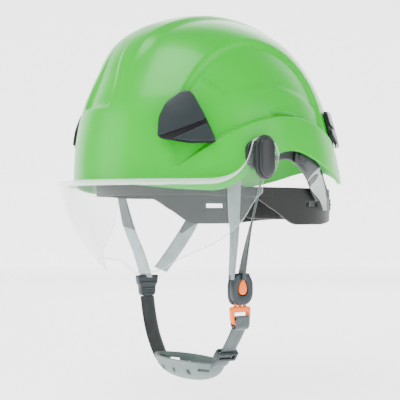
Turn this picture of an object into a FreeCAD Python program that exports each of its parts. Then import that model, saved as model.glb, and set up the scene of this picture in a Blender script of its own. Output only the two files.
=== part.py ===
import FreeCAD
import Part
import math
import os
import re

from FreeCAD import Matrix, Placement, Rotation, Vector

# Hard hat with a flip-down eye shield. Millimetres. +Z is up, the front of the helmet faces -Y and
# the wearer's left is +X. The origin is the centre of the head opening, level with the temple rim.

doc = FreeCAD.newDocument("HardHat")
sheet = doc.addObject("Spreadsheet::Sheet", "Sizes")

SIZES = {
    # shell
    "shell_half_width": 109.5,
    "shell_half_length": 128,
    "shell_crown": 160,
    "shell_fullness": 2.25,
    "shell_forward": 3,
    "shell_wall": 3,
    "shell_skirt": 8,
    "rim_flare": 3,
    "side_recess": 2.6,
    "ledge_height": 61,
    "slot_length": 30,
    "slot_tall": 5.2,
    "slot_back": 10,
    "louvre_rise": 4,
    "louvre_deep": 2,
    # eye shield
    "visor_gap": 2.3,
    "visor_wall": 2.2,
    "visor_bulge": 75,
    "visor_top": 9,
    "flange_reach": 3,
    "flange_thick": 2.4,
    "pivot_back": -26.5,
    "pivot_up": 27.3,
    "bracket_inset": 0.9,
    "pin_radius": 2.5,
    "pin_clearance": 0.05,
    "ear_radius": 18,
    "washer_radius": 11,
    "washer_thick": 0.8,
    "knob_width": 18,
    "knob_tall": 31,
    "knob_thick": 6,
    # cradle, headband and nape
    "band_side_gap": 27,
    "band_end_gap": 24,
    "band_back": 8,
    "band_wall": 1.8,
    "band_low": -6,
    "band_high": 24,
    "nape_low": -28,
    "nape_high": 5,
    "nape_reach": 15,
    "nape_inset": 3.5,
    "nape_wall": 2.4,
    "pad_thick": 5,
    "clip_width": 16,
    "clip_thick": 3,
    "clip_low": 24,
    "clip_tall": 12,
    "front_clip": -42,
    "cross_clip": -14,
    "rear_clip": 24,
    "cradle_gap": 44,
    "webbing_width": 19,
    "webbing_thick": 1.6,
    "knob_radius": 17,
    "knob_deep": 8,
    "housing_deep": 9,
    "hanger_width": 18,
    # harness
    "strap_width": 15,
    "strap_thick": 1.6,
    "junction_out": 75,
    "junction_front": 21,
    "buckle_top": -69,
    "buckle_height": 27,
    "buckle_side": 3.5,
    "buckle_thick": 9,
    "button_width": 8,
    "button_tall": 13,
    "tongue_height": 17,
    "adjuster_height": 20,
    "adjuster_side": 4,
    "adjuster_thick": 11,
    "strap_lift": 3.6,
    "prong_long": 9,
    "window_tall": 8,
    "cup_half_width": 50,
    "cup_half_depth": 19,
    "cup_drop": 19,
    "cup_level": -148,
    "cup_wall": 2.5,
    "cup_hole": 2.5,
    "slider_long": 10,
    "small_gap": 0.4,
}

for row, (alias, value) in enumerate(SIZES.items(), start=1):
    sheet.set("A%d" % row, str(value))
    sheet.setAlias("A%d" % row, alias)
doc.recompute()

nodes = []
ALIAS = r"[a-z]+(?:_[a-z]+)+"


def bind(obj, prop, text):
    """Bind a property to an expression whose words with an underscore are cells of the sheet."""
    obj.setExpression(prop, re.sub(ALIAS, lambda found: "Sizes." + found.group(0), text))


def size(text):
    """The present value of an expression on the sheet's sizes."""
    names = re.findall(ALIAS, text)
    for name in sorted(set(names), key=len, reverse=True):
        if name not in SIZES:
            raise ValueError("unknown size " + name)
    probe = doc.getObject("Probe")
    bind(probe, "Value", text)
    doc.recompute([probe])
    return float(probe.Value)


probe_object = doc.addObject("App::FeaturePython", "Probe")
probe_object.addProperty("App::PropertyFloat", "Value")


def node(obj, label):
    obj.Label = label
    nodes.append(obj)
    return obj


def solid(name, shape):
    """A sub-part whose free-form shape no primitive or feature makes."""
    obj = doc.addObject("Part::Feature", name)
    obj.Shape = shape
    return obj


# Free-form shapes --------------------------------------------------------------------------------

def ellipse(centre, first, second):
    """An ellipse through the ends of its two half axes, whichever of them is the longer."""
    ends = sorted((second, first), key=lambda end: (end - centre).Length, reverse=True)
    return Part.Wire(Part.Ellipse(ends[0], ends[1], centre).toShape())


def ellipse_wire(half_width, half_length, centre_y, level):
    """A plan ellipse."""
    return ellipse(Vector(0, centre_y, level), Vector(half_width, centre_y, level),
                   Vector(0, centre_y + half_length, level))


def dome(grow):
    """The shell's superellipse dome, grown outwards by a distance, as a closed solid."""
    full = 2 / size("shell_fullness")
    high = size("shell_crown") + grow
    wires = []
    for degrees in (-4, 4, 14, 26, 38, 50, 61, 71, 79, 85):
        angle = math.radians(degrees)
        reach = math.cos(angle) ** full
        level = math.copysign(abs(math.sin(angle)) ** full, angle) * high
        if degrees < 0:
            reach = 1
            level = -size("shell_skirt")
        lean = size("shell_forward") * (1 + min(level, 80) / 80)
        wires.append(ellipse_wire((size("shell_half_width") + grow) * reach,
                                  (size("shell_half_length") + grow) * reach, -lean, level))
    return Part.makeLoft(wires, True, False)


def side_prism(points, start, end, smooth):
    """A side-view outline (forward, up), some of it a smooth curve, run across the helmet."""
    spots = [Vector(start, -forward, up) for forward, up in points]
    if smooth:
        curve = Part.BSplineCurve()
        curve.interpolate(spots[:smooth])
        edges = [curve.toShape()]
        rest = spots[smooth - 1:] + [spots[0]]
    else:
        edges = []
        rest = spots + [spots[0]]
    for first, second in zip(rest, rest[1:]):
        edges.append(Part.LineSegment(first, second).toShape())
    return Part.Face(Part.Wire(edges)).extrude(Vector(end - start, 0, 0))


def ring(half_width, half_length, back, wall, low, high, power=2.0):
    """An upright band that follows a superellipse in plan."""
    def outline(shrink):
        spots = []
        for step in range(48):
            turn = 2 * math.pi * step / 48
            x = math.copysign(abs(math.cos(turn)) ** (2 / power), math.cos(turn)) * (half_width - shrink)
            y = math.copysign(abs(math.sin(turn)) ** (2 / power), math.sin(turn)) * (half_length - shrink)
            spots.append(Vector(x, back + y, low))
        curve = Part.BSplineCurve()
        curve.interpolate(Points=spots, PeriodicFlag=True)
        return Part.Face(Part.Wire(curve.toShape())).extrude(Vector(0, 0, high - low))
    return outline(0).cut(outline(wall))


def block(low, high):
    return Part.makeBox(high[0] - low[0], high[1] - low[1], high[2] - low[2], Vector(*low))


def slab(start, end, width, thick, facing):
    """A flat length of webbing from start to end; facing is the direction its flat side looks in."""
    start, end, facing = Vector(*start), Vector(*end), Vector(*facing)
    along = (end - start).normalize()
    across = along.cross(facing).normalize()
    normal = across.cross(along)
    shape = Part.makeBox(width, thick, (end - start).Length, Vector(-width / 2, -thick / 2, 0))
    turn = Matrix(across.x, normal.x, along.x, start.x,
                  across.y, normal.y, along.y, start.y,
                  across.z, normal.z, along.z, start.z, 0, 0, 0, 1)
    return shape.transformGeometry(turn)


def mirrored(shape):
    return shape.mirror(Vector(), Vector(1, 0, 0))


# Shell -------------------------------------------------------------------------------------------

NOMINAL_LENGTH = 128
NOMINAL_CROWN = 160
FAR = 240
WEB = 5


def fitted(points, upright=1.0):
    """An outline (forward, up) drawn on the nominal shell, stretched to the present one."""
    stretch = size("shell_half_length") / NOMINAL_LENGTH
    return [(forward * stretch, up * upright) for forward, up in points]


taller = size("shell_crown") / NOMINAL_CROWN
ARCH = fitted([(78, 80), (62, 102), (41, 119), (10, 129), (-9, 129), (-28, 124), (-50, 98), (-60, 76)],
              taller)
ledge = size("ledge_height")
LEDGE = fitted([(150, 11), (112, 12), (86, 20), (70, 32), (60, ledge - 22), (48, ledge - 14), (34, ledge - 7),
                (18, ledge - 1), (0, ledge), (-20, ledge), (-36, ledge - 3), (-52, ledge - 9),
                (-66, ledge - 16)])
RIM = fitted([(150, 7), (125, 6), (94, 2.5), (74, 1), (60, 1), (48, 6), (35, 15.5), (18, 26), (0, 32.5),
              (-16, 34), (-33, 30), (-50, 24), (-67, 18), (-88, 10), (-100, 10), (-118, 17), (-150, 34)])
BEHIND = RIM[-1][0]
AHEAD = RIM[0][0]

outer = dome(0)
recessed = dome(-size("side_recess"))
flared = dome(size("rim_flare"))
inner = dome(-size("side_recess") - size("shell_wall"))
below_ledge = side_prism(LEDGE + [(BEHIND, ledge - 30), (BEHIND, -30), (AHEAD, -30)], -FAR, FAR, len(LEDGE))
side_area = side_prism(ARCH + LEDGE[:3:-1], -FAR, FAR, len(ARCH))
below_rim = side_prism(RIM + [(BEHIND, -60), (AHEAD, -60)], -FAR, FAR, len(RIM))
shell_solid = outer.cut(side_area.cut(recessed)).fuse(flared.common(below_ledge))
shell_solid = shell_solid.cut(inner).cut(below_rim)
web_outline = [(forward, up - WEB) for forward, up in LEDGE]
web_outline += [(BEHIND, ledge - 30 - WEB), (BEHIND, -60), (AHEAD, -60)]
below_web = side_prism(web_outline, -FAR, FAR, len(LEDGE))
shell_solid = shell_solid.cut(dome(size("rim_flare") - size("shell_wall")).common(below_web))

# temple and rear vents: the covers sit in openings through the wall
FRONT_VENT = fitted([(96, 44), (92, 62), (82, 75), (72, 79), (66, 60), (60, 41), (78, 41)], taller)
REAR_VENT = fitted([(-70, 72), (-86, 68), (-96, 50), (-84, 44), (-72, 52)], taller)


def vent_pair(outline, spread, louvre):
    """A cover for a vent opening, and the opening itself, on the wearer's left."""
    hole = side_prism(outline, 20, FAR, 0)
    middle_f = sum(forward for forward, up in outline) / len(outline)
    middle_z = sum(up for forward, up in outline) / len(outline)
    edge = []
    for forward, up in outline:
        edge.append((middle_f + (forward - middle_f) * spread, middle_z + (up - middle_z) * spread))
    behind = dome(-size("shell_wall") - size("side_recess"))
    cover = side_prism(edge, 20, FAR, 0).common(dome(0.6).cut(behind))
    return hole, cover.cut(louvre.cut(dome(-size("louvre_deep"))))


rise = size("louvre_rise")
FRONT_LOUVRE = fitted([(98, 46), (98, 46 + rise), (60, 63 + rise), (60, 63)], taller)
REAR_LOUVRE = fitted([(-68, 60), (-68, 60 + rise), (-98, 56 + rise), (-98, 56)], taller)
front_louvre = side_prism(FRONT_LOUVRE, 20, FAR, 0)
rear_louvre = side_prism(REAR_LOUVRE, 20, FAR, 0)
front_hole, front_cover = vent_pair(FRONT_VENT, 0.97, front_louvre)
rear_hole, rear_cover = vent_pair(REAR_VENT, 0.96, rear_louvre)
half_slot = size("slot_length") / 2
half_rise = size("slot_tall") / 2
accessory_slot = block((size("shell_half_width") - 19.5, size("slot_back") - half_slot, ledge - half_rise),
                       (FAR, size("slot_back") + half_slot, ledge + half_rise))
for tool in (front_hole, rear_hole, accessory_slot):
    shell_solid = shell_solid.cut(tool).cut(mirrored(tool))

pivot_y = size("pivot_back")
pivot_z = size("pivot_up")
pivot_x = size("shell_half_width + rim_flare - bracket_inset")
gap = size("small_gap")
washer_x = pivot_x + 0.1
ear_x = washer_x + size("washer_thick") + 0.1
knob_x = ear_x + size("visor_wall") + 0.1


def across(radius, start, end):
    """A round bar along the visor's pivot line, on the wearer's left."""
    return Part.makeCylinder(radius, end - start, Vector(start, pivot_y, pivot_z), Vector(1, 0, 0))


PIN_INSIDE = 6.6
pin = across(size("pin_radius"), pivot_x - PIN_INSIDE, knob_x + size("knob_thick") - 2)
pin_hole = across(size("pin_radius + pin_clearance"), pivot_x - 20, pivot_x + 40)
bracket_pad = across(size("washer_radius"), pivot_x - 11.6, pivot_x)
bracket_pad = bracket_pad.cut(flared).cut(pin_hole)
shell_solid = shell_solid.cut(pin_hole).cut(mirrored(pin_hole))
node(solid("Shell", shell_solid), "shell")
SIDES = (("left", Part.Shape.copy), ("right", mirrored))
for side, turn in SIDES:
    node(solid("FrontVent" + side, turn(front_cover)), "front_vent_" + side)
    node(solid("RearVent" + side, turn(rear_cover)), "rear_vent_" + side)
    node(solid("Bracket" + side, turn(bracket_pad)), "visor_bracket_" + side)


# Eye shield --------------------------------------------------------------------------------------

def visor_skin(grow, top):
    """The lens's barrel: an ellipse in plan that draws in towards the chin."""
    wires = []
    for level in (top, 9, -8, -22, -36, -50, -62, -74):
        drop = min(level - size("visor_top"), 0)
        inset = drop * drop / (2 * size("visor_bulge"))
        wide = size("shell_half_width + rim_flare + visor_gap") + grow - inset
        long = size("shell_half_length + rim_flare + visor_gap") + grow - inset
        wires.append(ellipse_wire(wide, long, -size("shell_forward"), level))
    return Part.makeLoft(wires, True, False)


LENS_EDGE = fitted([(14, 60), (12, 27), (16, 12), (24, 3), (33, -8), (41, -26), (51, -38), (63, -47), (77, -60),
                    (90, -68), (99, -66), (106, -57)])
LENS_TOP = fitted([(150, 9), (72, 9), (58, 11), (47, 18), (40, 28), (37, 42), (36, 60)])
in_front = side_prism(LENS_EDGE + [(AHEAD, -57), (AHEAD, 60)], -FAR, FAR, len(LENS_EDGE))
above_top = side_prism(LENS_TOP + [(AHEAD, 60)], -FAR, FAR, len(LENS_TOP))
wall = size("visor_wall")
lens = visor_skin(wall, 48).cut(visor_skin(0, 48)).common(in_front).cut(above_top)
flange = visor_skin(wall + size("flange_reach"), 48).cut(visor_skin(0.6, 48))
flange_end = -66 * size("shell_half_length") / NOMINAL_LENGTH
flange_zone = block((-FAR, -FAR, size("visor_top - flange_thick")), (FAR, flange_end, size("visor_top")))
flange = flange.common(flange_zone)
lens = lens.fuse(flange)
ear = across(size("ear_radius"), ear_x, ear_x + wall)
clear_ear = across(size("ear_radius") - 2, pivot_x - 20, pivot_x + 40)
lens = lens.cut(clear_ear).cut(mirrored(clear_ear)).fuse(ear).fuse(mirrored(ear))
lens = lens.cut(pin_hole).cut(mirrored(pin_hole))
lens = max(lens.Solids, key=lambda piece: piece.Volume)
node(solid("Lens", lens), "visor_lens")

half_wide = size("knob_width") / 2
half_tall = size("knob_tall") / 2 - half_wide
knob = block((knob_x, pivot_y - half_wide, pivot_z - half_tall),
             (knob_x + size("knob_thick"), pivot_y + half_wide, pivot_z + half_tall))
for end in (-half_tall, half_tall):
    knob = knob.fuse(across(half_wide, knob_x, knob_x + size("knob_thick")).translated(Vector(0, 0, end)))
knob = knob.removeSplitter().cut(pin)
washer = across(size("washer_radius"), washer_x, washer_x + size("washer_thick")).cut(pin_hole)
for side, turn in SIDES:
    node(solid("Knob" + side, turn(knob)), "pivot_knob_" + side)
    node(solid("Pin" + side, turn(pin)), "pivot_pin_" + side)
node(solid("Washers", Part.makeCompound([washer, mirrored(washer)])), "pivot_washers")

# Cradle, headband and nape -----------------------------------------------------------------------

side_x = size("shell_half_width")
half_width = size("shell_half_width - band_side_gap")
half_length = size("shell_half_length - band_end_gap")
back = size("band_back")
SQUARE = 3
band_wall = size("band_wall")
band_low = size("band_low")
band_high = size("band_high")
nape_low = size("nape_low")
nape_high = size("nape_high")
# the headband's arms drop at the temples, from brow height to the level of the nape cradle
ARM_END = -5
BAND_OUTLINE = [(half_length, band_high), (half_length, band_low + 2), (60, band_low + 2), (42, nape_low + 1),
                (ARM_END, nape_low + 1), (ARM_END, nape_high - 1), (22, nape_high - 1), (36, band_high)]
headband = ring(half_width, half_length, back, band_wall, nape_low, band_high, SQUARE)
headband = headband.common(side_prism(BAND_OUTLINE, -FAR, FAR, 0))
node(solid("Headband", headband), "headband")
brow = ring(half_width - band_wall - 0.3, half_length - band_wall - 0.3, back, size("pad_thick") - 1,
            band_low + 2, band_high - 2, SQUARE)
node(solid("BrowPad", brow.common(block((-FAR, -FAR, -60), (FAR, 54 - half_length, 60)))), "brow_pad")

nape_width = half_width - size("nape_inset")
nape_length = half_length + 4
nape_back = back + 2
nape_wall = size("nape_wall")
ROUND = 2.3
nape = ring(nape_width, nape_length, nape_back, nape_wall, nape_low, nape_high, ROUND)
node(solid("Nape", nape.common(block((-FAR, -size("nape_reach"), -60), (FAR, FAR, 60)))), "nape_cradle")
nape_pad = ring(nape_width - nape_wall - 0.3, nape_length - nape_wall - 0.3, nape_back, size("pad_thick"),
                nape_low + 3, nape_high - 3, ROUND)
node(solid("NapePad", nape_pad.common(block((-60, half_length - 44, -60), (60, FAR, 60)))), "nape_pad")

housing_y = nape_back + nape_length + 0.2
knob_y = housing_y + size("housing_deep") + 0.5
knob_z = (nape_low + nape_high) / 2 + 2.5


def along_y(radius, start, end):
    return Part.makeCylinder(radius, end - start, Vector(0, start, knob_z), Vector(0, 1, 0))


SHAFT = 4
housing = block((-26, housing_y, knob_z - 15), (26, housing_y + size("housing_deep"), knob_z + 15))
housing = housing.cut(along_y(SHAFT + size("pin_clearance"), housing_y - 1, housing_y + 20))
node(solid("RatchetHousing", housing), "ratchet_housing")
node(solid("RatchetKnob", along_y(size("knob_radius"), knob_y, knob_y + size("knob_deep"))), "ratchet_knob")
node(solid("RatchetPinion", along_y(SHAFT, housing_y + 1, knob_y)), "ratchet_pinion")


def arch_band(reach, rise, level, turn):
    """A strip of webbing that arches over the head."""
    thick = size("webbing_thick")
    wide = size("webbing_width")
    bands = []
    for shrink in (0, thick):
        outline = ellipse(Vector(), Vector(reach - shrink, 0, 0), Vector(0, rise - shrink, 0))
        bands.append(Part.Face(outline).extrude(Vector(0, 0, wide)))
    strip = bands[0].cut(bands[1]).common(block((-FAR, 0, -1), (FAR, FAR, wide + 1)))
    strip.translate(Vector(0, 0, -wide / 2))
    strip.rotate(Vector(), Vector(1, 0, 0), 90)
    strip.rotate(Vector(), Vector(0, 0, 1), turn)
    strip.translate(Vector(0, 0, level))
    return strip


STRAP_LEVEL = 30
CROSS_Y = size("cross_clip")
rise = size("shell_crown - cradle_gap") - STRAP_LEVEL
long_strap = arch_band(half_length + 7, rise, STRAP_LEVEL, 90)
cross_strap = arch_band(side_x - 12.5, rise - 6, STRAP_LEVEL, 0)
cross_strap.translate(Vector(0, CROSS_Y, 0))
node(solid("CrownLong", long_strap), "crown_strap_long")
node(solid("CrownCross", cross_strap), "crown_strap_cross")
pad_top = size("shell_crown - cradle_gap") - 12
node(solid("CrownPad", block((-28, CROSS_Y - 28, pad_top - size("pad_thick")), (28, CROSS_Y + 28, pad_top))),
     "crown_pad")

clip_thick = size("clip_thick")
clip_wide = size("clip_width")


def clip(inset, y):
    """A clip whose outer face stands a given distance inside the shell's half width."""
    low = size("clip_low")
    return block((side_x - inset - clip_thick, y - clip_wide / 2, low),
                 (side_x - inset, y + clip_wide / 2, low + size("clip_tall")))


side_clips = [clip(9.5, size("front_clip")), clip(8.5, CROSS_Y), clip(6, size("rear_clip"))]
side_clips += [mirrored(piece) for piece in side_clips]
node(solid("Clips", Part.makeCompound(side_clips)), "suspension_clips")

hanger = slab((side_x - 11.7, size("rear_clip") - 15, 34), (nape_width - 7, half_length - 30, 4),
              size("hanger_width"), size("webbing_thick"), (1, 0, 0))
for side, turn in SIDES:
    node(solid("Hanger" + side, turn(hanger)), "nape_hanger_" + side)

# Harness and buckle ------------------------------------------------------------------------------

out = size("junction_out")
front = -size("junction_front")
wide = size("strap_width")
thick = size("strap_thick")
top = size("buckle_top")
strap_low = top + size("strap_lift")
right_low = top - 8 + size("strap_lift")
front_y = size("front_clip")
rear_y = size("rear_clip")
right_top = top - 8
STRAPS = {
    "front_strap_left": ((side_x - 13.5, front_y, 27), (out - 1, front - 5, strap_low), (1, 0, 0)),
    "rear_strap_left": ((side_x - 13.5, CROSS_Y + 4, 27), (out + 2.8, front + 6, strap_low), (1, 0, 0)),
    "front_strap_right": ((13.5 - side_x, front_y, 27), (1 - out, front - 3, right_low), (-1, 0, 0)),
    "rear_strap_right": ((16.9 - side_x, rear_y + 31, 22), (-out - 4.5, front + 9, right_low), (-1, 0, 0)),
}
for label, (start, end, facing) in STRAPS.items():
    node(solid("Strap" + label, slab(start, end, wide, thick, facing)), label)

buckle_wide = size("strap_width + 2 * buckle_side")
buckle_thick = size("buckle_thick")
bottom = top - size("buckle_height")
middle = out + 0.8
prong_long = size("prong_long")
half_strap = wide / 2
case = block((middle - buckle_thick / 2, front - buckle_wide / 2, bottom),
             (middle + buckle_thick / 2, front + buckle_wide / 2, top))
mouth = block((middle - 3, front - half_strap, bottom - 1),
              (middle + 1.6, front + half_strap, bottom + prong_long + 0.5))
button_z = top - 11
half_button = size("button_width") / 2
half_high = size("button_tall") / 2
face_x = middle + buckle_thick / 2
well = block((face_x - 4.5, front - half_button - 0.3, button_z - half_high - 0.3),
             (face_x + 2, front + half_button + 0.3, button_z + half_high + 0.3))
button = block((face_x - 2.4, front - half_button, button_z - half_high),
               (face_x + 0.8, front + half_button, button_z + half_high))
node(solid("BuckleHousing", case.cut(mouth).cut(well)), "buckle_housing")
node(solid("ReleaseButton", button), "release_button")

tongue_top = bottom - gap
tongue_low = tongue_top - size("tongue_height")
frame = block((middle - 2.5, front - half_strap - 2.5, tongue_low),
              (middle + 2.5, front + half_strap + 2.5, tongue_top))
frame = frame.cut(block((middle - 5, front - half_strap - 0.5, tongue_low + 4),
                        (middle + 5, front + half_strap + 0.5, tongue_low + 4 + size("window_tall"))))
prong = block((middle - 1.9, front - half_strap + 1.5, tongue_top),
              (middle + 0.6, front + half_strap - 1.5, tongue_top + prong_long))
node(solid("Tongue", frame.fuse(prong)), "buckle_tongue")

adjuster_low = right_top - size("adjuster_height")
adjuster_wide = size("strap_width + 2 * adjuster_side")
adjuster = block((-out + 3 - size("adjuster_thick"), front + 2 - adjuster_wide / 2, adjuster_low),
                 (-out + 3, front + 2 + adjuster_wide / 2, right_top))
node(solid("Adjuster", adjuster), "side_adjuster")

# Chin loop ---------------------------------------------------------------------------------------

cup_level = size("cup_level")
cup_out = size("cup_half_width")
cup_y = front - 1
chin_left = ((middle, front, tongue_low - 1.2), (cup_out + 0.5, cup_y, cup_level + 0.6))
chin_right = ((-out - 2, front + 2, adjuster_low - 0.9), (-cup_out - 0.5, cup_y, cup_level + 0.6))
node(solid("ChinLeft", slab(*chin_left, wide, thick, (1, 0, 0))), "chin_strap_left")
node(solid("ChinRight", slab(*chin_right, wide, thick, (-1, 0, 0))), "chin_strap_right")

start, end = Vector(*chin_left[0]), Vector(*chin_left[1])
run = (start - end).normalize()
SLIDER_FOOT = 5
slider_low = end + run * SLIDER_FOOT
slider_high = slider_low + run * size("slider_long")
body_block = slab(tuple(slider_low), tuple(slider_high), wide + 6, thick + 4, (1, 0, 0))
slot_block = slab(tuple(slider_low - run), tuple(slider_high + run), wide + 1, thick + 0.8, (1, 0, 0))
node(solid("Slider", body_block.cut(slot_block)), "strap_slider")

ball = Part.makeSphere(1)


def bowl(shrink):
    grown = Matrix()
    grown.scale(cup_out - shrink, size("cup_half_depth") - shrink, size("cup_drop") - shrink)
    shape = ball.transformGeometry(grown)
    shape.translate(Vector(0, cup_y, cup_level))
    return shape


cup = bowl(0).cut(bowl(size("cup_wall")))
cup = cup.common(block((-FAR, -FAR, -FAR - 20), (FAR, FAR, cup_level)))
for x in (-20, 0, 20):
    cup = cup.cut(Part.makeCylinder(size("cup_hole"), 30, Vector(x, cup_y, cup_level - 9), Vector(0, -1, 0)))
node(solid("ChinCup", cup), "chin_cup")

# Checks and files --------------------------------------------------------------------------------

doc.recompute()
for obj in doc.Objects:
    if "Invalid" in obj.State or "Error" in obj.State:
        raise RuntimeError(obj.Label + " did not build")
for obj in nodes:
    if obj.Shape.isNull() or not obj.Shape.isValid() or not obj.Shape.Solids:
        raise RuntimeError(obj.Label + " has no sound solid")
os.makedirs("parts", exist_ok=True)
for obj in nodes:
    obj.Shape.exportStep("parts/%s.step" % obj.Label)
    print("%-20s solids %d volume %9.1f" % (obj.Label, len(obj.Shape.Solids), obj.Shape.Volume))
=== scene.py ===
"""Hard hat with a flip-up eye shield: the finished surfaces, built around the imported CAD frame."""
import math

import bmesh
import bpy
from mathutils import Matrix, Vector


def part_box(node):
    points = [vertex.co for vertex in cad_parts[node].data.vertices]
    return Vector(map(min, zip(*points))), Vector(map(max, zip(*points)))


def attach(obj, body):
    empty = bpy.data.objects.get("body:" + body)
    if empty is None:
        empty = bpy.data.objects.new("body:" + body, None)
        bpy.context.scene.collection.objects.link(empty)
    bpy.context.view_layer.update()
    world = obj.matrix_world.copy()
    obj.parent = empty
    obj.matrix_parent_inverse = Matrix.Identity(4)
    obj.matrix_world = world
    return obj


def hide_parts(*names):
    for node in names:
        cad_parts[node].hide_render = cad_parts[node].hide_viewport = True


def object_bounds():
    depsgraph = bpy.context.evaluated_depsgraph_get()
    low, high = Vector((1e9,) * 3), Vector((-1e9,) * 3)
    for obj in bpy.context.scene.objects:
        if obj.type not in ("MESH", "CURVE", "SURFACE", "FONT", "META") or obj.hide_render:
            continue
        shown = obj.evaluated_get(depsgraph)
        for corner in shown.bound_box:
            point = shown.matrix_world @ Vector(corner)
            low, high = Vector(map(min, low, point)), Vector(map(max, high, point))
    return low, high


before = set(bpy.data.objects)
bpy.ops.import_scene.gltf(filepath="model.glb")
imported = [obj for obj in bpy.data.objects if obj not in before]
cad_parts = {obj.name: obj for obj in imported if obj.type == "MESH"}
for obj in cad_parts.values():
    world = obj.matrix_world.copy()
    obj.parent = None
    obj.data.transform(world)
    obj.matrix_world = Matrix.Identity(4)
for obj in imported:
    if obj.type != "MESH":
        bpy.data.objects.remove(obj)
CAD_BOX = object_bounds()

bl_info = {
    "name": "Hard hat builder",
    "version": (1, 0, 0),
    "blender": (4, 5, 0),
    "location": "View3D > Sidebar > Hard hat",
    "description": "Builds the finished surfaces of a climbing-style hard hat around its CAD frame",
    "category": "Object",
}

SIDES = (("left", 1), ("right", -1))


def corners(node):
    """The low and high corners of a CAD node's box."""
    return [Vector(corner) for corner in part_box(node)]


# ---------------------------------------------------------------- user sizes and colours

class HatSizes(bpy.types.PropertyGroup):
    crown: bpy.props.FloatProperty(name="Crown height", description="Crown above the temple rim",
                                   default=0.160, unit="LENGTH")
    half_width: bpy.props.FloatProperty(name="Half width", description="Half the dome's width",
                                        default=0.1095, unit="LENGTH")
    half_length: bpy.props.FloatProperty(name="Half length", description="Half the dome's length",
                                         default=0.128, unit="LENGTH")
    fullness: bpy.props.FloatProperty(name="Fullness", description="Superellipse power of the dome",
                                      default=2.25)
    wall: bpy.props.FloatProperty(name="Shell wall", description="Thickness of the shell",
                                  default=0.0028, unit="LENGTH")
    recess: bpy.props.FloatProperty(name="Side recess", description="Depth of the side area",
                                    default=0.0026, unit="LENGTH")
    flare: bpy.props.FloatProperty(name="Rim flare", description="How far the rim band stands out",
                                   default=0.003, unit="LENGTH")
    webbing: bpy.props.FloatProperty(name="Webbing width", description="Width of the harness webbing",
                                     default=0.0150, unit="LENGTH")


class HatColours(bpy.types.PropertyGroup):
    shell: bpy.props.FloatVectorProperty(name="Shell", description="Colour of the moulded shell",
                                         subtype="COLOR", default=(0.006, 0.42, 0.012))
    trim: bpy.props.FloatVectorProperty(name="Trim", description="Colour of vents and knobs",
                                        subtype="COLOR", default=(0.014, 0.019, 0.021))
    webbing: bpy.props.FloatVectorProperty(name="Webbing", description="Colour of the grey webbing",
                                           subtype="COLOR", default=(0.20, 0.25, 0.26))
    release: bpy.props.FloatVectorProperty(name="Release", description="Colour of the buckle's tongue",
                                           subtype="COLOR", default=(1.0, 0.17, 0.012))


def sizes():
    return bpy.context.scene.hat_sizes


def colours():
    return bpy.context.scene.hat_colours


# ---------------------------------------------------------------- shader maths

class Sig:
    """A shader socket that can be used in Python arithmetic."""

    def __init__(self, tree, socket):
        self.tree = tree
        self.socket = socket

    def node(self, kind, settings=None, **inputs):
        made = self.tree.nodes.new(kind)
        for key, value in (settings or {}).items():
            setattr(made, key, value)
        for key, value in inputs.items():
            spot = made.inputs[int(key[1:])] if key[1:].isdigit() else made.inputs[key.replace("_", " ")]
            if isinstance(value, Sig):
                self.tree.links.new(value.socket, spot)
            else:
                spot.default_value = value
        return made

    def maths(self, operation, other=0.0, flip=False):
        first, second = (other, self) if flip else (self, other)
        made = self.node("ShaderNodeMath", {"operation": operation}, i0=first, i1=second)
        return Sig(self.tree, made.outputs[0])

    def __add__(self, other):
        return self.maths("ADD", other)

    __radd__ = __add__

    def __mul__(self, other):
        return self.maths("MULTIPLY", other)

    __rmul__ = __mul__

    def __sub__(self, other):
        return self.maths("SUBTRACT", other)

    def __rsub__(self, other):
        return self.maths("SUBTRACT", other, flip=True)

    def __pow__(self, other):
        return self.maths("POWER", other)

    def sine(self):
        return self.maths("SINE")

    def size(self):
        return self.maths("ABSOLUTE")

    def over(self, low, high):
        """0 below low, 1 above high, smooth between."""
        made = self.node("ShaderNodeMapRange", {"interpolation_type": "SMOOTHSTEP"},
                         Value=self, From_Min=low, From_Max=high)
        return Sig(self.tree, made.outputs[0])


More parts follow.
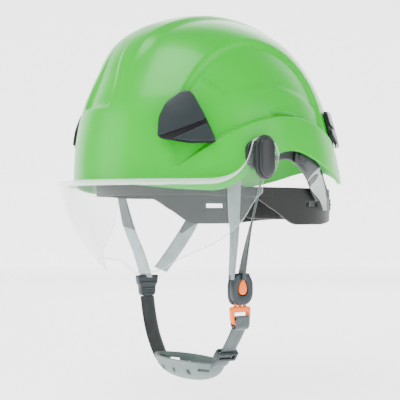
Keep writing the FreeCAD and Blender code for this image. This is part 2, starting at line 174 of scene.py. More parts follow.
class Finish:
    """One material: its tree, its coordinates and its Principled shader."""

    made = {}

    def __init__(self, name, colour, roughness, **fixed):
        self.material = bpy.data.materials.new(name)
        self.material.use_nodes = True
        self.tree = self.material.node_tree
        self.shader = self.tree.nodes["Principled BSDF"]
        self.colour = colour
        self.shader.inputs["Base Color"].default_value = (*colour, 1)
        self.shader.inputs["Roughness"].default_value = roughness
        for key, value in fixed.items():
            self.shader.inputs[key.replace("_", " ")].default_value = value
        self.base = Sig(self.tree, None)
        spot = self.base.node("ShaderNodeTexCoord")
        self.place = Sig(self.tree, spot.outputs["Object"])
        self.uv = Sig(self.tree, spot.outputs["UV"])
        Finish.made[name] = self

    def noise(self, scale, detail=4.0, rough=0.5, where=None):
        made = self.base.node("ShaderNodeTexNoise", None, Vector=where or self.place, Scale=scale,
                              Detail=detail, Roughness=rough)
        return Sig(self.tree, made.outputs[0])

    def speckle(self, scale, where=None):
        made = self.base.node("ShaderNodeTexVoronoi", None, Vector=where or self.place, Scale=scale)
        return Sig(self.tree, made.outputs[0])

    def axis(self, which, where=None):
        made = self.base.node("ShaderNodeSeparateXYZ", None, Vector=where or self.place)
        return Sig(self.tree, made.outputs[which])

    def mix(self, factor, first, second):
        made = self.base.node("ShaderNodeMix", {"data_type": "RGBA"}, i0=factor)
        for slot, value in ((6, first), (7, second)):
            if isinstance(value, Sig):
                self.tree.links.new(value.socket, made.inputs[slot])
            else:
                made.inputs[slot].default_value = (*value, 1)
        return Sig(self.tree, made.outputs[2])

    def edges(self):
        made = self.base.node("ShaderNodeNewGeometry")
        return Sig(self.tree, made.outputs["Pointiness"])

    def drive(self, socket, signal):
        self.tree.links.new(signal.socket, self.shader.inputs[socket])
        return self

    def bump(self, signal, depth, strength=1.0):
        made = self.base.node("ShaderNodeBump", None, Strength=strength, Distance=depth, Height=signal)
        self.tree.links.new(made.outputs[0], self.shader.inputs["Normal"])
        return self


def shade(colour, factor):
    return tuple(min(1.0, channel * factor) for channel in colour)


def plastic(name, colour, roughness, grain=0.5, depth=0.00004, wear=1.35, **fixed):
    """Moulded plastic: a fine spark-eroded grain, slow colour drift and polished edges."""
    made = Finish(name, colour, roughness, Specular_IOR_Level=0.35, **fixed)
    drift = made.noise(28, 3).over(0.35, 0.65)
    body = made.mix(drift, shade(colour, 0.9), shade(colour, 1.08))
    worn = made.edges().over(0.53, 0.60)
    made.drive("Base Color", made.mix(worn * 0.5, body, shade(colour, wear)))
    made.drive("Roughness", made.noise(90, 5) * 0.12 + (roughness - 0.06))
    made.bump(made.noise(1500, 2) * grain + made.speckle(900) * (1 - grain), depth, 0.6)
    return made


def webbing(name, colour, rib=0.0011):
    """Woven tape: crossing yarns from the ribbon's own UV map, in metres."""
    made = Finish(name, colour, 0.82, Sheen_Weight=0.35, Sheen_Roughness=0.5)
    across = made.axis(0, made.uv)
    along = made.axis(1, made.uv)
    warp = (across * (2 * math.pi / rib)).sine()
    weft = (along * (2 * math.pi / (rib * 1.4))).sine()
    twill = ((across + along) * (2 * math.pi / (rib * 2.2))).sine()
    yarn = warp * weft * 0.5 + twill * 0.35
    height = yarn * 0.5 + 0.5
    tone = made.noise(140, 4).over(0.3, 0.7) * 0.5 + height * 0.5
    made.drive("Base Color", made.mix(tone, shade(colour, 0.62), shade(colour, 1.25)))
    made.drive("Roughness", height * 0.15 + 0.72)
    made.bump(height + made.noise(2500, 2) * 0.3, 0.00016, 0.8)
    return made


def soft_cloth(name, colour):
    """Brushed knit over foam, with a fine pile."""
    made = Finish(name, colour, 0.95, Sheen_Weight=0.5, Sheen_Roughness=0.4)
    knit = made.speckle(1100)
    made.drive("Base Color", made.mix(knit.over(0.1, 0.6), shade(colour, 1.5), shade(colour, 0.7)))
    made.bump(knit + made.noise(600, 3) * 0.5, 0.0002, 0.7)
    return made


def shell_finish():
    """Gloss ABS with a faint orange peel, flow marks and fine handling scratches."""
    colour = tuple(colours().shell)
    made = Finish("shell_green", colour, 0.3, Specular_IOR_Level=0.28, Coat_Weight=0.12, Coat_Roughness=0.12)
    flow = made.noise(9, 4, 0.6).over(0.3, 0.7)
    made.drive("Base Color", made.mix(flow, shade(colour, 0.94), shade(colour, 1.06)))
    made.drive("Roughness", made.noise(45, 6, 0.7) * 0.12 + 0.26)
    made.bump(made.noise(420, 2) * 0.6 + made.noise(60, 2) * 0.4, 0.00005, 0.35)
    return made


def lens_finish():
    """Clear polycarbonate that whitens towards grazing angles and moulded edges."""
    made = Finish("visor_clear", (0.62, 0.70, 0.70), 0.04, IOR=1.58, Coat_Weight=1.0, Coat_Roughness=0.02)
    facing = made.base.node("ShaderNodeLayerWeight", None, Blend=0.35)
    rim = Sig(made.tree, facing.outputs["Facing"]) ** 2.2
    haze = made.noise(12, 3) * 0.03
    made.drive("Alpha", rim * 0.45 + haze + 0.03)
    made.drive("Roughness", made.noise(200, 4) * 0.03 + 0.02)
    return made


def edge_finish():
    """The thick moulded flange of the lens, which gathers light."""
    made = Finish("visor_edge", (0.86, 0.92, 0.91), 0.06, IOR=1.58, Coat_Weight=1.0)
    facing = made.base.node("ShaderNodeLayerWeight", None, Blend=0.5)
    rim = Sig(made.tree, facing.outputs["Facing"])
    made.drive("Alpha", rim * 0.45 + made.noise(60, 3) * 0.12 + 0.16)
    return made


def make_finishes():
    trim = tuple(colours().trim)
    grey = tuple(colours().webbing)
    release = tuple(colours().release)
    shell_finish()
    lens_finish()
    edge_finish()
    plastic("vent_black", shade(trim, 1.35), 0.34, depth=0.00005)
    plastic("slot_black", (0.004, 0.004, 0.005), 0.7)
    plastic("knob_black", (0.014, 0.016, 0.018), 0.36)
    plastic("bracket_black", (0.016, 0.018, 0.019), 0.42)
    plastic("band_black", (0.006, 0.0065, 0.007), 0.5)
    # painted shadow: a near-black copy of the grey hanger plastic, for the arm's shaded part under the rim
    plastic("hanger_grey", (0.032, 0.036, 0.040), 0.30)
    plastic("hanger_light", (0.36, 0.40, 0.40), 0.45)
    plastic("buckle_black", (0.020, 0.030, 0.036), 0.32)
    plastic("release_orange", release, 0.33, wear=1.05)
    plastic("cup_grey", (0.165, 0.205, 0.205), 0.62, depth=0.00008, wear=1.15)
    plastic("washer_black", (0.01, 0.01, 0.01), 0.75)
    steel = Finish("pin_steel", (0.55, 0.56, 0.57), 0.28, Metallic=1.0)
    steel.bump(steel.noise(700, 3), 0.00002)
    soft_cloth("pad_black", (0.012, 0.0125, 0.014))
    webbing("webbing_grey", grey)
    webbing("webbing_light", shade(grey, 1.75))
    # webbing_dark is also the colour of the painted shadow sheets on the far straps
    webbing("webbing_dark", (0.062, 0.082, 0.088))
    webbing("webbing_black", (0.024, 0.025, 0.031))
    webbing("crown_webbing", (0.030, 0.031, 0.034))


# ---------------------------------------------------------------- mesh tools

def step(low, high, value):
    """Smoothstep."""
    part = min(1.0, max(0.0, (value - low) / (high - low)))
    return part * part * (3 - 2 * part)


def along(points, where):
    """A smooth curve through given (place, value) points, in order of place."""
    if where <= points[0][0]:
        return points[0][1]
    for index in range(len(points) - 1):
        (x0, y0), (x1, y1) = points[index], points[index + 1]
        if where <= x1:
            before = points[max(index - 1, 0)]
            after = points[min(index + 2, len(points) - 1)]
            slope0 = (y1 - before[1]) / (x1 - before[0])
            slope1 = (after[1] - y0) / (after[0] - x0)
            part = (where - x0) / (x1 - x0)
            wide = x1 - x0
            return ((1 + 2 * part) * (1 - part) ** 2 * y0 + part * (1 - part) ** 2 * wide * slope0
                    + part * part * (3 - 2 * part) * y1 + part * part * (part - 1) * wide * slope1)
    return points[-1][1]


def finish_piece(mesh_data, name, finish, body, node_names=(), smooth=True):
    """Turns a bmesh into a riding, finished piece."""
    mesh = bpy.data.meshes.new(name)
    mesh_data.to_mesh(mesh)
    mesh_data.free()
    piece = bpy.data.objects.new(name, mesh)
    bpy.context.scene.collection.objects.link(piece)
    for key in ([finish] if isinstance(finish, str) else finish):
        mesh.materials.append(Finish.made[key].material)
    for face in mesh.polygons:
        face.use_smooth = smooth
    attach(piece, body)
    if node_names:
        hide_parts(*node_names)
    return piece


def thicken(piece, thickness, offset=-1.0, bevel=0.0, segments=2):
    wall = piece.modifiers.new("Wall", "SOLIDIFY")
    wall.thickness = thickness
    wall.offset = offset
    wall.use_even_offset = True
    if bevel:
        soften(piece, bevel, segments)
    return piece


def soften(piece, width, segments=3, angle=35):
    edge = piece.modifiers.new("Edge", "BEVEL")
    edge.width = width
    edge.segments = segments
    edge.limit_method = "ANGLE"
    edge.angle_limit = math.radians(angle)
    edge.harden_normals = False
    return piece


def sheet_mesh(columns, rows, place, closed=False):
    """A grid whose vertices are put by place(u, v), u and v from 0 to 1; closed joins u's ends."""
    data = bmesh.new()
    bmesh.ops.create_grid(data, x_segments=columns, y_segments=rows, size=0.5)
    for vert in data.verts:
        vert.co = Vector(place(vert.co.x + 0.5, vert.co.y + 0.5))
    if closed:
        bmesh.ops.remove_doubles(data, verts=data.verts, dist=1e-6)
    return data


def face_out(data, inside=(0, 0, 0.03)):
    """Points an open skin's faces away from a point inside it."""
    centre = Vector(inside)
    score = sum((face.calc_center_median() - centre).dot(face.normal) for face in data.faces)
    if score < 0:
        bmesh.ops.reverse_faces(data, faces=data.faces)
    return data


def mirror_x(data):
    bmesh.ops.scale(data, vec=(-1, 1, 1), verts=data.verts)
    bmesh.ops.reverse_faces(data, faces=data.faces)
    return data


# ---------------------------------------------------------------- the shell's form

RIM = [(-0.131, 0.026), (-0.118, 0.016), (-0.100, 0.0095), (-0.088, 0.0095), (-0.067, 0.018),
       (-0.050, 0.0245), (-0.033, 0.030), (-0.016, 0.0338), (0.0, 0.0325), (0.018, 0.0255),
       (0.035, 0.0152), (0.048, 0.0055), (0.060, 0.0010), (0.074, 0.0008), (0.094, 0.0022),
       (0.115, 0.0048), (0.128, 0.0062), (0.140, 0.0064)]
ARCH_REACH = 0.075
ARCH_RISE = 0.0795
ARCH_FOOT = 0.050


def rim_level(forward):
    return along(RIM, forward)


def lean(level):
    return 0.003 * (1 + min(max(level, 0.0), 0.08) / 0.08)


def ledge_level(forward):
    return 0.062 - 0.024 * ((forward + 0.010) / 0.073) ** 2


def relief(x, forward, level):
    """How far the moulded surface stands off the plain dome."""
    s = sizes()
    side = step(-0.090, -0.064, forward) * (1 - step(0.062, 0.080, forward))
    centre = 0.0035 + max(0.0, 0.119 - level) * 0.18
    arch = ((forward - centre) / ARCH_REACH) ** 2 + ((level - ARCH_FOOT) / ARCH_RISE) ** 2
    inside = 1 - step(0.90, 1.04, arch)
    above = step(ledge_level(forward) - 0.0003, ledge_level(forward) + 0.0032, level)
    band = s.flare * (1 - above)
    area = -s.recess * inside * above
    brow = step(0.030, 0.100, forward)
    plain = s.flare * (1 - step(0.004, 0.050, level)) * (1 - brow)
    out = side * (band + area) + (1 - side) * (plain + area * step(0.0, 0.5, above))
    out -= 0.0045 * brow * (1 - step(0.085, 0.150, level))
    # raised ridge from the brow over the crown
    crown = step(0.100, 0.132, level) * (1 - step(0.025, 0.037, abs(x)))
    out += 0.0026 * crown - 0.0022 * step(0.130, 0.156, level)
    crease = max(0.090 - 4.5 * forward * forward, 0.0805 + (forward - 0.047) * 0.97)
    out -= 0.0009 * inside * step(crease - 0.0009, crease + 0.0009, level)
    # keyhole recess in the brow
    if forward > 0:
        tall = step(0.0735, 0.0760, level) * (1 - step(0.085, 0.135, level))
        half = 0.020 - 0.010 * step(0.080, 0.125, level)
        out -= 0.0030 * tall * (1 - step(half - 0.0015, half + 0.0025, abs(x)))
    # slot lip for clip-on accessories
    slot = (1 - step(0.0135, 0.0165, abs(forward + 0.010))) * (1 - step(0.0010, 0.0024, abs(level - 0.0650)))
    out -= 0.0022 * slot
    return out


def dome_point(turn, climb, grow=0.0):
    """A point of the moulded dome: turn about Z from the wearer's left, climb 0 to 1 to the crown."""
    s = sizes()
    full = 2 / s.fullness
    reach = math.cos(climb * math.pi / 2) ** full if climb < 1 else 0.0
    level = math.copysign(abs(math.sin(climb * math.pi / 2)) ** full, climb) * s.crown
    x = s.half_width * reach * math.cos(turn)
    y = s.half_length * reach * math.sin(turn) - lean(level)
    out = relief(x, -y, level) + grow
    reach_slope = Vector((x / s.half_width ** 2, (y + lean(level)) / s.half_length ** 2,
                          (max(level, 0) / s.crown) ** (s.fullness - 1) / s.crown * 1.0))
    if reach < 1e-6:
        reach_slope = Vector((0, 0, 1))
    normal = reach_slope.normalized()
    return Vector((x, y, level)) + normal * out


def side_point(forward, level, grow=0.0, moulded=False):
    """The point of the dome's left side seen at (forward, level) from the side."""
    s = sizes()
    fraction = max(1 - (max(level, 0) / s.crown) ** s.fullness, 1e-6) ** (1 / s.fullness)
    y = -forward
    part = (y + lean(level)) / (s.half_length * fraction)
    x = s.half_width * fraction * math.sqrt(max(1 - part * part, 1e-4))
    normal = Vector((x / s.half_width ** 2, (y + lean(level)) / s.half_length ** 2,
                     (max(level, 0) / s.crown) ** (s.fullness - 1) / s.crown)).normalized()
    out = grow + (relief(x, forward, level) if moulded else 0.0)
    return Vector((x, y, level)) + normal * out


def climb_of(level):
    """The climb at which the dome reaches a level."""
    s = sizes()
    return math.asin(min(1.0, (level / s.crown) ** (s.fullness / 2))) / (math.pi / 2) if level > 0 else 0.0


class HAT_OT_shell(bpy.types.Operator):
    """Mould the shell"""
    bl_idname = "hat.shell"
    bl_label = "Shell"

    def execute(self, context):
        s = sizes()

        def place(u, v):
            turn = u * 2 * math.pi
            forward = -(s.half_length + s.flare) * math.sin(turn) + 0.003
            foot = climb_of(rim_level(forward))
            edge = climb_of(0.05)
            for _ in range(4):
                level = s.crown * math.sin(edge * math.pi / 2) ** (2 / s.fullness)
                reach = math.cos(edge * math.pi / 2) ** (2 / s.fullness)
                forward = lean(level) - s.half_length * reach * math.sin(turn)
                shelf = max(ledge_level(forward), rim_level(forward) + 0.010)
                edge = climb_of(shelf - 0.0006)
            top = climb_of(shelf + 0.0038)
            if v < 0.24:
                climb = foot + (edge - foot) * v / 0.24
            elif v < 0.36:
                climb = edge + (top - edge) * (v - 0.24) / 0.12
            else:
                climb = top + (1 - top) * (v - 0.36) / 0.64
            return dome_point(turn, climb)

        data = sheet_mesh(420, 100, place, closed=True)
        face_out(data)
        piece = finish_piece(data, "helmet_shell", "shell_green", "helmet", ["shell"])
        thicken(piece, s.wall, bevel=0.0007, segments=2)
        return {"FINISHED"}


def patch(outline, grow, spacing=0.002, place=None):
    """A convex side-view outline as a fine patch that lies on the dome."""
    data = bmesh.new()
    low = Vector((min(p[0] for p in outline), min(p[1] for p in outline)))
    high = Vector((max(p[0] for p in outline), max(p[1] for p in outline)))
    count = [max(4, int((high[axis] - low[axis]) / spacing)) for axis in (0, 1)]
    bmesh.ops.create_grid(data, x_segments=count[0], y_segments=count[1], size=0.5)
    for vert in data.verts:
        vert.co = Vector((low.x + (vert.co.x + 0.5) * (high.x - low.x),
                          low.y + (vert.co.y + 0.5) * (high.y - low.y), 0))
    middle = Vector((sum(p[0] for p in outline), sum(p[1] for p in outline), 0)) / len(outline)
    for index, start in enumerate(outline):
        end = outline[(index + 1) % len(outline)]
        run = Vector((end[0] - start[0], end[1] - start[1], 0))
        normal = Vector((run.y, -run.x, 0))
        corner = Vector((start[0], start[1], 0))
        if (middle - corner).dot(normal) > 0:
            normal = -normal
        bmesh.ops.bisect_plane(data, geom=data.verts[:] + data.edges[:] + data.faces[:], plane_co=corner,
                               plane_no=normal, clear_outer=True)
    bmesh.ops.remove_doubles(data, verts=data.verts, dist=2e-5)
    for vert in data.verts:
        vert.co = (place or side_point)(vert.co.x, vert.co.y, grow)
    return face_out(data)


def rounded(outline, radius, steps=4):
    """A convex outline with its corners rounded."""
    points = []
    count = len(outline)
    for index in range(count):
        before, corner, after = (Vector(outline[(index + k) % count]) for k in (-1, 0, 1))
        inward = min(radius, (before - corner).length * 0.45)
        outward = min(radius, (after - corner).length * 0.45)
        start = corner + (before - corner).normalized() * inward
        end = corner + (after - corner).normalized() * outward
        for part in range(steps + 1):
            t = part / steps
            points.append(tuple(start * (1 - t) ** 2 + corner * 2 * t * (1 - t) + end * t * t))
    return points


FRONT_UPPER = [(0.0985, 0.0435), (0.0965, 0.0580), (0.0905, 0.0705), (0.0790, 0.0800), (0.0740, 0.0795),
               (0.0668, 0.0590), (0.0680, 0.0565)]
FRONT_LOWER = [(0.0900, 0.0410), (0.0665, 0.0535), (0.0612, 0.0395), (0.0780, 0.0390)]
REAR_UPPER = [(-0.0670, 0.0720), (-0.0700, 0.0600), (-0.0975, 0.0560), (-0.0940, 0.0640), (-0.0850, 0.0715)]
REAR_LOWER = [(-0.0700, 0.0565), (-0.0705, 0.0520), (-0.0850, 0.0440), (-0.0985, 0.0420), (-0.0980, 0.0525)]
FRONT_SEAT = [(0.0992, 0.0420), (0.0970, 0.0590), (0.0908, 0.0714), (0.0790, 0.0808), (0.0733, 0.0800),
              (0.0600, 0.0385), (0.0800, 0.0378)]
REAR_SEAT = [(-0.0662, 0.0728), (-0.0695, 0.0510), (-0.0850, 0.0432), (-0.0995, 0.0410), (-0.0985, 0.0570),
             (-0.0945, 0.0650), (-0.0850, 0.0724)]


class HAT_OT_vents(bpy.types.Operator):
    """Fit the louvred vent covers"""
    bl_idname = "hat.vents"
    bl_label = "Vent covers"

    def execute(self, context):
        for where, upper, lower, seat in (("front", FRONT_UPPER, FRONT_LOWER, FRONT_SEAT),
                                          ("rear", REAR_UPPER, REAR_LOWER, REAR_SEAT)):
            for side, sign in SIDES:
                node = "%s_vent_%s" % (where, side)
                for part, outline, radius, grow, finish, thick in (
                        ("seat", seat, 0.004, 0.0013, "slot_black", 0.0012),
                        ("upper", upper, 0.003, 0.0028, "vent_black", 0.0016),
                        ("lower", lower, 0.0015, 0.0030, "vent_black", 0.0018)):
                    data = patch(rounded(outline, radius), grow)
                    if sign < 0:
                        mirror_x(data)
                    piece = finish_piece(data, "%s_%s" % (node, part), finish, "helmet",
                                         [node])
                    thicken(piece, thick, bevel=0.0005, segments=2)
        return {"FINISHED"}


# ---------------------------------------------------------------- eye shield

PIVOT = Vector((0.0, -0.0265, 0.0273))
EAR = 0.0165
LENS_GAP = 0.0053
LENS_WALL = 0.0022
LENS_TOP = 0.009
LENS_BULGE = 0.075
LENS_FOOT = [(0.0265, -0.0010), (0.033, -0.0080), (0.041, -0.0260), (0.051, -0.0380), (0.063, -0.0475),
             (0.077, -0.0600), (0.088, -0.0675), (0.094, -0.0690), (0.0995, -0.0665), (0.1050, -0.0590),
             (0.1075, -0.0572), (0.140, -0.0570)]
LENS_HEAD = [(0.0365, 0.0405), (0.039, 0.0310), (0.043, 0.0225), (0.050, 0.0150), (0.060, 0.0105),
             (0.074, 0.0090), (0.150, 0.0090)]


def lens_point(forward_share, level, grow):
    """A point of the lens barrel; forward_share is the plan angle's sine, from the side to the front."""
    s = sizes()
    drop = min(level - LENS_TOP, 0.0)
    inset = drop * drop / (2 * LENS_BULGE)
    wide = s.half_width + LENS_GAP - inset + grow
    long = s.half_length + LENS_GAP - inset + grow
    return Vector((wide * math.sqrt(max(1 - forward_share ** 2, 0.0)), -long * forward_share - 0.003, level))


def lens_edge(forward):
    """The lower and upper edge of the lens, seen from the side."""
    offset = forward + PIVOT.y
    circle = math.sqrt(max(EAR ** 2 - offset ** 2, 0.0))
    low = PIVOT.z - circle if forward < 0.0265 else along(LENS_FOOT, forward)
    if forward < 0.0265:
        low = min(low, PIVOT.z - circle)
    else:
        low = min(PIVOT.z - circle, low) if offset < EAR else low
    high = PIVOT.z + circle
    if forward > 0.0365:
        high = along(LENS_HEAD, forward)
    return low, high


def lens_columns(count):
    """Forward shares from the ear to the centre line, denser at the ear."""
    start = (-PIVOT.y - EAR + 0.0003 - 0.003) / (sizes().half_length + LENS_GAP)
    for index in range(count + 1):
        part = index / count
        yield math.sin(math.asin(start) + (math.pi / 2 - math.asin(start)) * part)


class HAT_OT_visor(bpy.types.Operator):
    """Mould the clear eye shield"""
    bl_idname = "hat.visor"
    bl_label = "Eye shield"

    def execute(self, context):
        rows = 40
        half = list(lens_columns(110))
        shares = [(value, 1) for value in half[:-1]] + [(1.0, 1)] + [(value, -1) for value in half[-2::-1]]

        def place(u, v):
            share, sign = shares[round(u * (len(shares) - 1))]
            long = sizes().half_length + LENS_GAP
            forward = share * long + 0.003
            low, high = lens_edge(forward)
            for _ in range(4):
                level = low + (high - low) * v
                point = lens_point(share, level, LENS_WALL)
                low, high = lens_edge(-point.y)
            flat = step(0.000, 0.020, level) * (1 - step(0.030, 0.058, -point.y))
            point.x = point.x * (1 - flat) + 0.1150 * flat
            point.x *= sign
            return point

        data = sheet_mesh(len(shares) - 1, rows, place)
        face_out(data, (0, -0.05, 0))
        lens = finish_piece(data, "lens", ["visor_clear", "visor_edge"], "visor",
                            ["visor_lens"])
        wall = thicken(lens, LENS_WALL).modifiers["Wall"]
        wall.material_offset_rim = 1
        self.flange(shares)
        return {"FINISHED"}

    def flange(self, shares):
        """The moulded lip along the top edge, a soft triangle in section."""
        section = [(-0.0022, 0.0000), (0.0000, 0.0008), (0.0030, 0.0004), (0.0036, -0.0006),
                   (0.0026, -0.0020), (0.0004, -0.0034), (-0.0018, -0.0040)]

        def place(u, v):
            share, sign = shares[round(u * (len(shares) - 1))]
            out, up = section[round(v * len(section)) % len(section)]
            long = sizes().half_length + LENS_GAP
            level = lens_edge(share * long + 0.003)[1]
            fade = step(0.036, 0.060, share * long)
            point = lens_point(share, level + up * (0.4 + 0.6 * fade),
                               LENS_WALL + out * (0.25 + 0.75 * fade))
            flat = step(0.000, 0.020, level) * (1 - step(0.030, 0.058, -point.y))
            point.x = point.x * (1 - flat) + (0.1150 + out * 0.25) * flat
            point.x *= sign
            return point

        data = sheet_mesh(len(shares) - 1, len(section), place, closed=True)
        bmesh.ops.holes_fill(data, edges=data.edges)
        bmesh.ops.recalc_face_normals(data, faces=data.faces)
        finish_piece(data, "lens_flange", "visor_edge", "visor", ["visor_lens"])


# ---------------------------------------------------------------- knobs and brackets

def prism(outline, plane, low, high, bevel=0.0, segments=3):
    """A flat outline drawn across two axes and run along the third from low to high."""
    data = bmesh.new()
    first, second = plane
    third = 3 - first - second
    verts = []
    for a, b in outline:
        spot = [0.0, 0.0, 0.0]
        spot[first], spot[second], spot[third] = a, b, low
        verts.append(data.verts.new(spot))
    face = data.faces.new(verts)
    run = [0.0, 0.0, 0.0]
    run[third] = high - low
    made = bmesh.ops.extrude_face_region(data, geom=[face])
    bmesh.ops.translate(data, vec=run, verts=[v for v in made["geom"] if isinstance(v, bmesh.types.BMVert)])
    bmesh.ops.recalc_face_normals(data, faces=data.faces)
    if bevel:
        sharp = [edge for edge in data.edges if edge.calc_face_angle(0) > math.radians(50)]
        bmesh.ops.bevel(data, geom=sharp, offset=bevel, affect="EDGES", segments=segments, profile=0.5,
                        material=-1)
    return data


def stadium(centre, half_wide, half_tall, steps=10):
    """An upright oval outline with straight sides."""
    points = []
    straight = half_tall - half_wide
    for start, lift in ((0, straight), (math.pi, -straight)):
        for index in range(steps + 1):
            turn = start + math.pi * index / steps
            points.append((centre[0] + half_wide * math.cos(turn),
                           centre[1] + lift + half_wide * math.sin(turn)))
    return points


def rectangle(low_a, high_a, low_b, high_b):
    return [(low_a, low_b), (high_a, low_b), (high_a, high_b), (low_a, high_b)]


def disc(radius, steps=48, centre=(0.0, 0.0)):
    return [(centre[0] + radius * math.cos(2 * math.pi * k / steps),
             centre[1] + radius * math.sin(2 * math.pi * k / steps)) for k in range(steps)]


def joined(parts):
    """Several bmeshes as one."""
    whole = bmesh.new()
    for part in parts:
        mesh = bpy.data.meshes.new("part")
        part.to_mesh(mesh)
        part.free()
        whole.from_mesh(mesh)
        bpy.data.meshes.remove(mesh)
    return whole


class HAT_OT_pivots(bpy.types.Operator):
    """Fit the pivot caps, brackets, pins and washers"""
    bl_idname = "hat.pivots"
    bl_label = "Pivots"

    def execute(self, context):
        at = (PIVOT.y, PIVOT.z)
        face = corners("pivot_knob_left")[0].x
        for side, sign in SIDES:
            cap = joined([
                prism(stadium(at, 0.0094, 0.0180), (1, 2), face + 0.0004, face + 0.0040, 0.0012),
                prism(stadium(at, 0.0076, 0.0160), (1, 2), face + 0.0030, face + 0.0066, 0.0014, 4),
                prism(stadium(at, 0.0062, 0.0145), (1, 2), face + 0.0050, face + 0.0071, 0.0004, 2)])
            foot = joined([
                prism(stadium((at[0] - 0.0040, at[1] + 0.0020), 0.0085, 0.0118), (1, 2), 0.1030, 0.1102,
                      0.0010),
                prism(disc(0.0105, 40, at), (1, 2), 0.1060, 0.1115, 0.0006)])
            if sign < 0:
                mirror_x(cap)
                mirror_x(foot)
            finish_piece(cap, "pivot_cap_" + side, "knob_black", "visor",
                         ["pivot_knob_" + side])
            finish_piece(foot, "pivot_foot_" + side, "bracket_black", "helmet",
                         ["visor_bracket_" + side])
        repaint("pivot_pin_left", "pin_steel")
        repaint("pivot_pin_right", "pin_steel")
        repaint("pivot_washers", "washer_black")
        return {"FINISHED"}


def repaint(node, finish):
    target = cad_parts[node]
    for index in range(max(1, len(target.material_slots))):
        if target.material_slots:
            target.material_slots[index].material = Finish.made[finish].material


# ---------------------------------------------------------------- webbing

def smooth_path(points, count):
    """Points and width directions along a Catmull-Rom curve; each control is (point, width direction)."""
    spots = [Vector(point) for point, across in points]
    sides = [Vector(across).normalized() for point, across in points]
    whole = []
    last = len(spots) - 1
    for index in range(count + 1):
        place = index / count * last
        low = min(int(place), last - 1)
        t = place - low
        p0, p1, p2, p3 = (spots[min(max(low + k, 0), last)] for k in (-1, 0, 1, 2))
        point = 0.5 * ((2 * p1) + (p2 - p0) * t + (2 * p0 - 5 * p1 + 4 * p2 - p3) * t * t
                       + (3 * p1 - p0 - 3 * p2 + p3) * t ** 3)
        whole.append((point, sides[low].lerp(sides[low + 1], t).normalized()))
    return whole


def ribbon(name, points, width, thick, finish, body, nodes, count=60, crown=0.0):
    """A length of webbing with a rounded selvedge and a UV map in metres along and across it."""
    path = smooth_path(points, count)
    section = []
    for index in range(9):
        section.append((-0.5 + index / 8, 0.5))
    section += [(0.5, -0.5)]
    for index in range(7, -1, -1):
        section.append((-0.5 + index / 8, -0.5))
    data = bmesh.new()
    layer = data.loops.layers.uv.new("UVMap")
    rings = []
    lengths = [0.0]
    for index, (point, across) in enumerate(path):
        ahead = path[min(index + 1, count)][0] - path[max(index - 1, 0)][0]
        normal = across.cross(ahead).normalized()
        if index:
            lengths.append(lengths[-1] + (point - path[index - 1][0]).length)
        size = width(index / count) if callable(width) else width
        row = []
        for a, b in section:
            edge = 1 - 0.45 * step(0.40, 0.5, abs(a))
            bow = crown * (1 - 4 * a * a)
            row.append(data.verts.new(point + across * a * size + normal * (b * thick * edge + bow)))
        rings.append(row)
    total = len(section)
    for index in range(count):
        for k in range(total):
            after = (k + 1) % total
            face = data.faces.new((rings[index][k], rings[index][after], rings[index + 1][after],
                                   rings[index + 1][k]))
            for loop, (row, column) in zip(face.loops, ((index, k), (index, after), (index + 1, after),
                                                        (index + 1, k))):
                size = width(row / count) if callable(width) else width
                loop[layer].uv = (section[column][0] * size, lengths[row])
    for row in (rings[0], rings[-1]):
        data.faces.new(row)
    bmesh.ops.recalc_face_normals(data, faces=data.faces)
    return finish_piece(data, name, finish, body, nodes)


IN_VIEW = Vector((0.819, -0.574, 0.0))
BACKWARD = Vector((0.0, 1.0, 0.0))


def side_facing(points):
    """Controls of a strap whose width runs straight back."""
    return [(point, BACKWARD) for point in points]


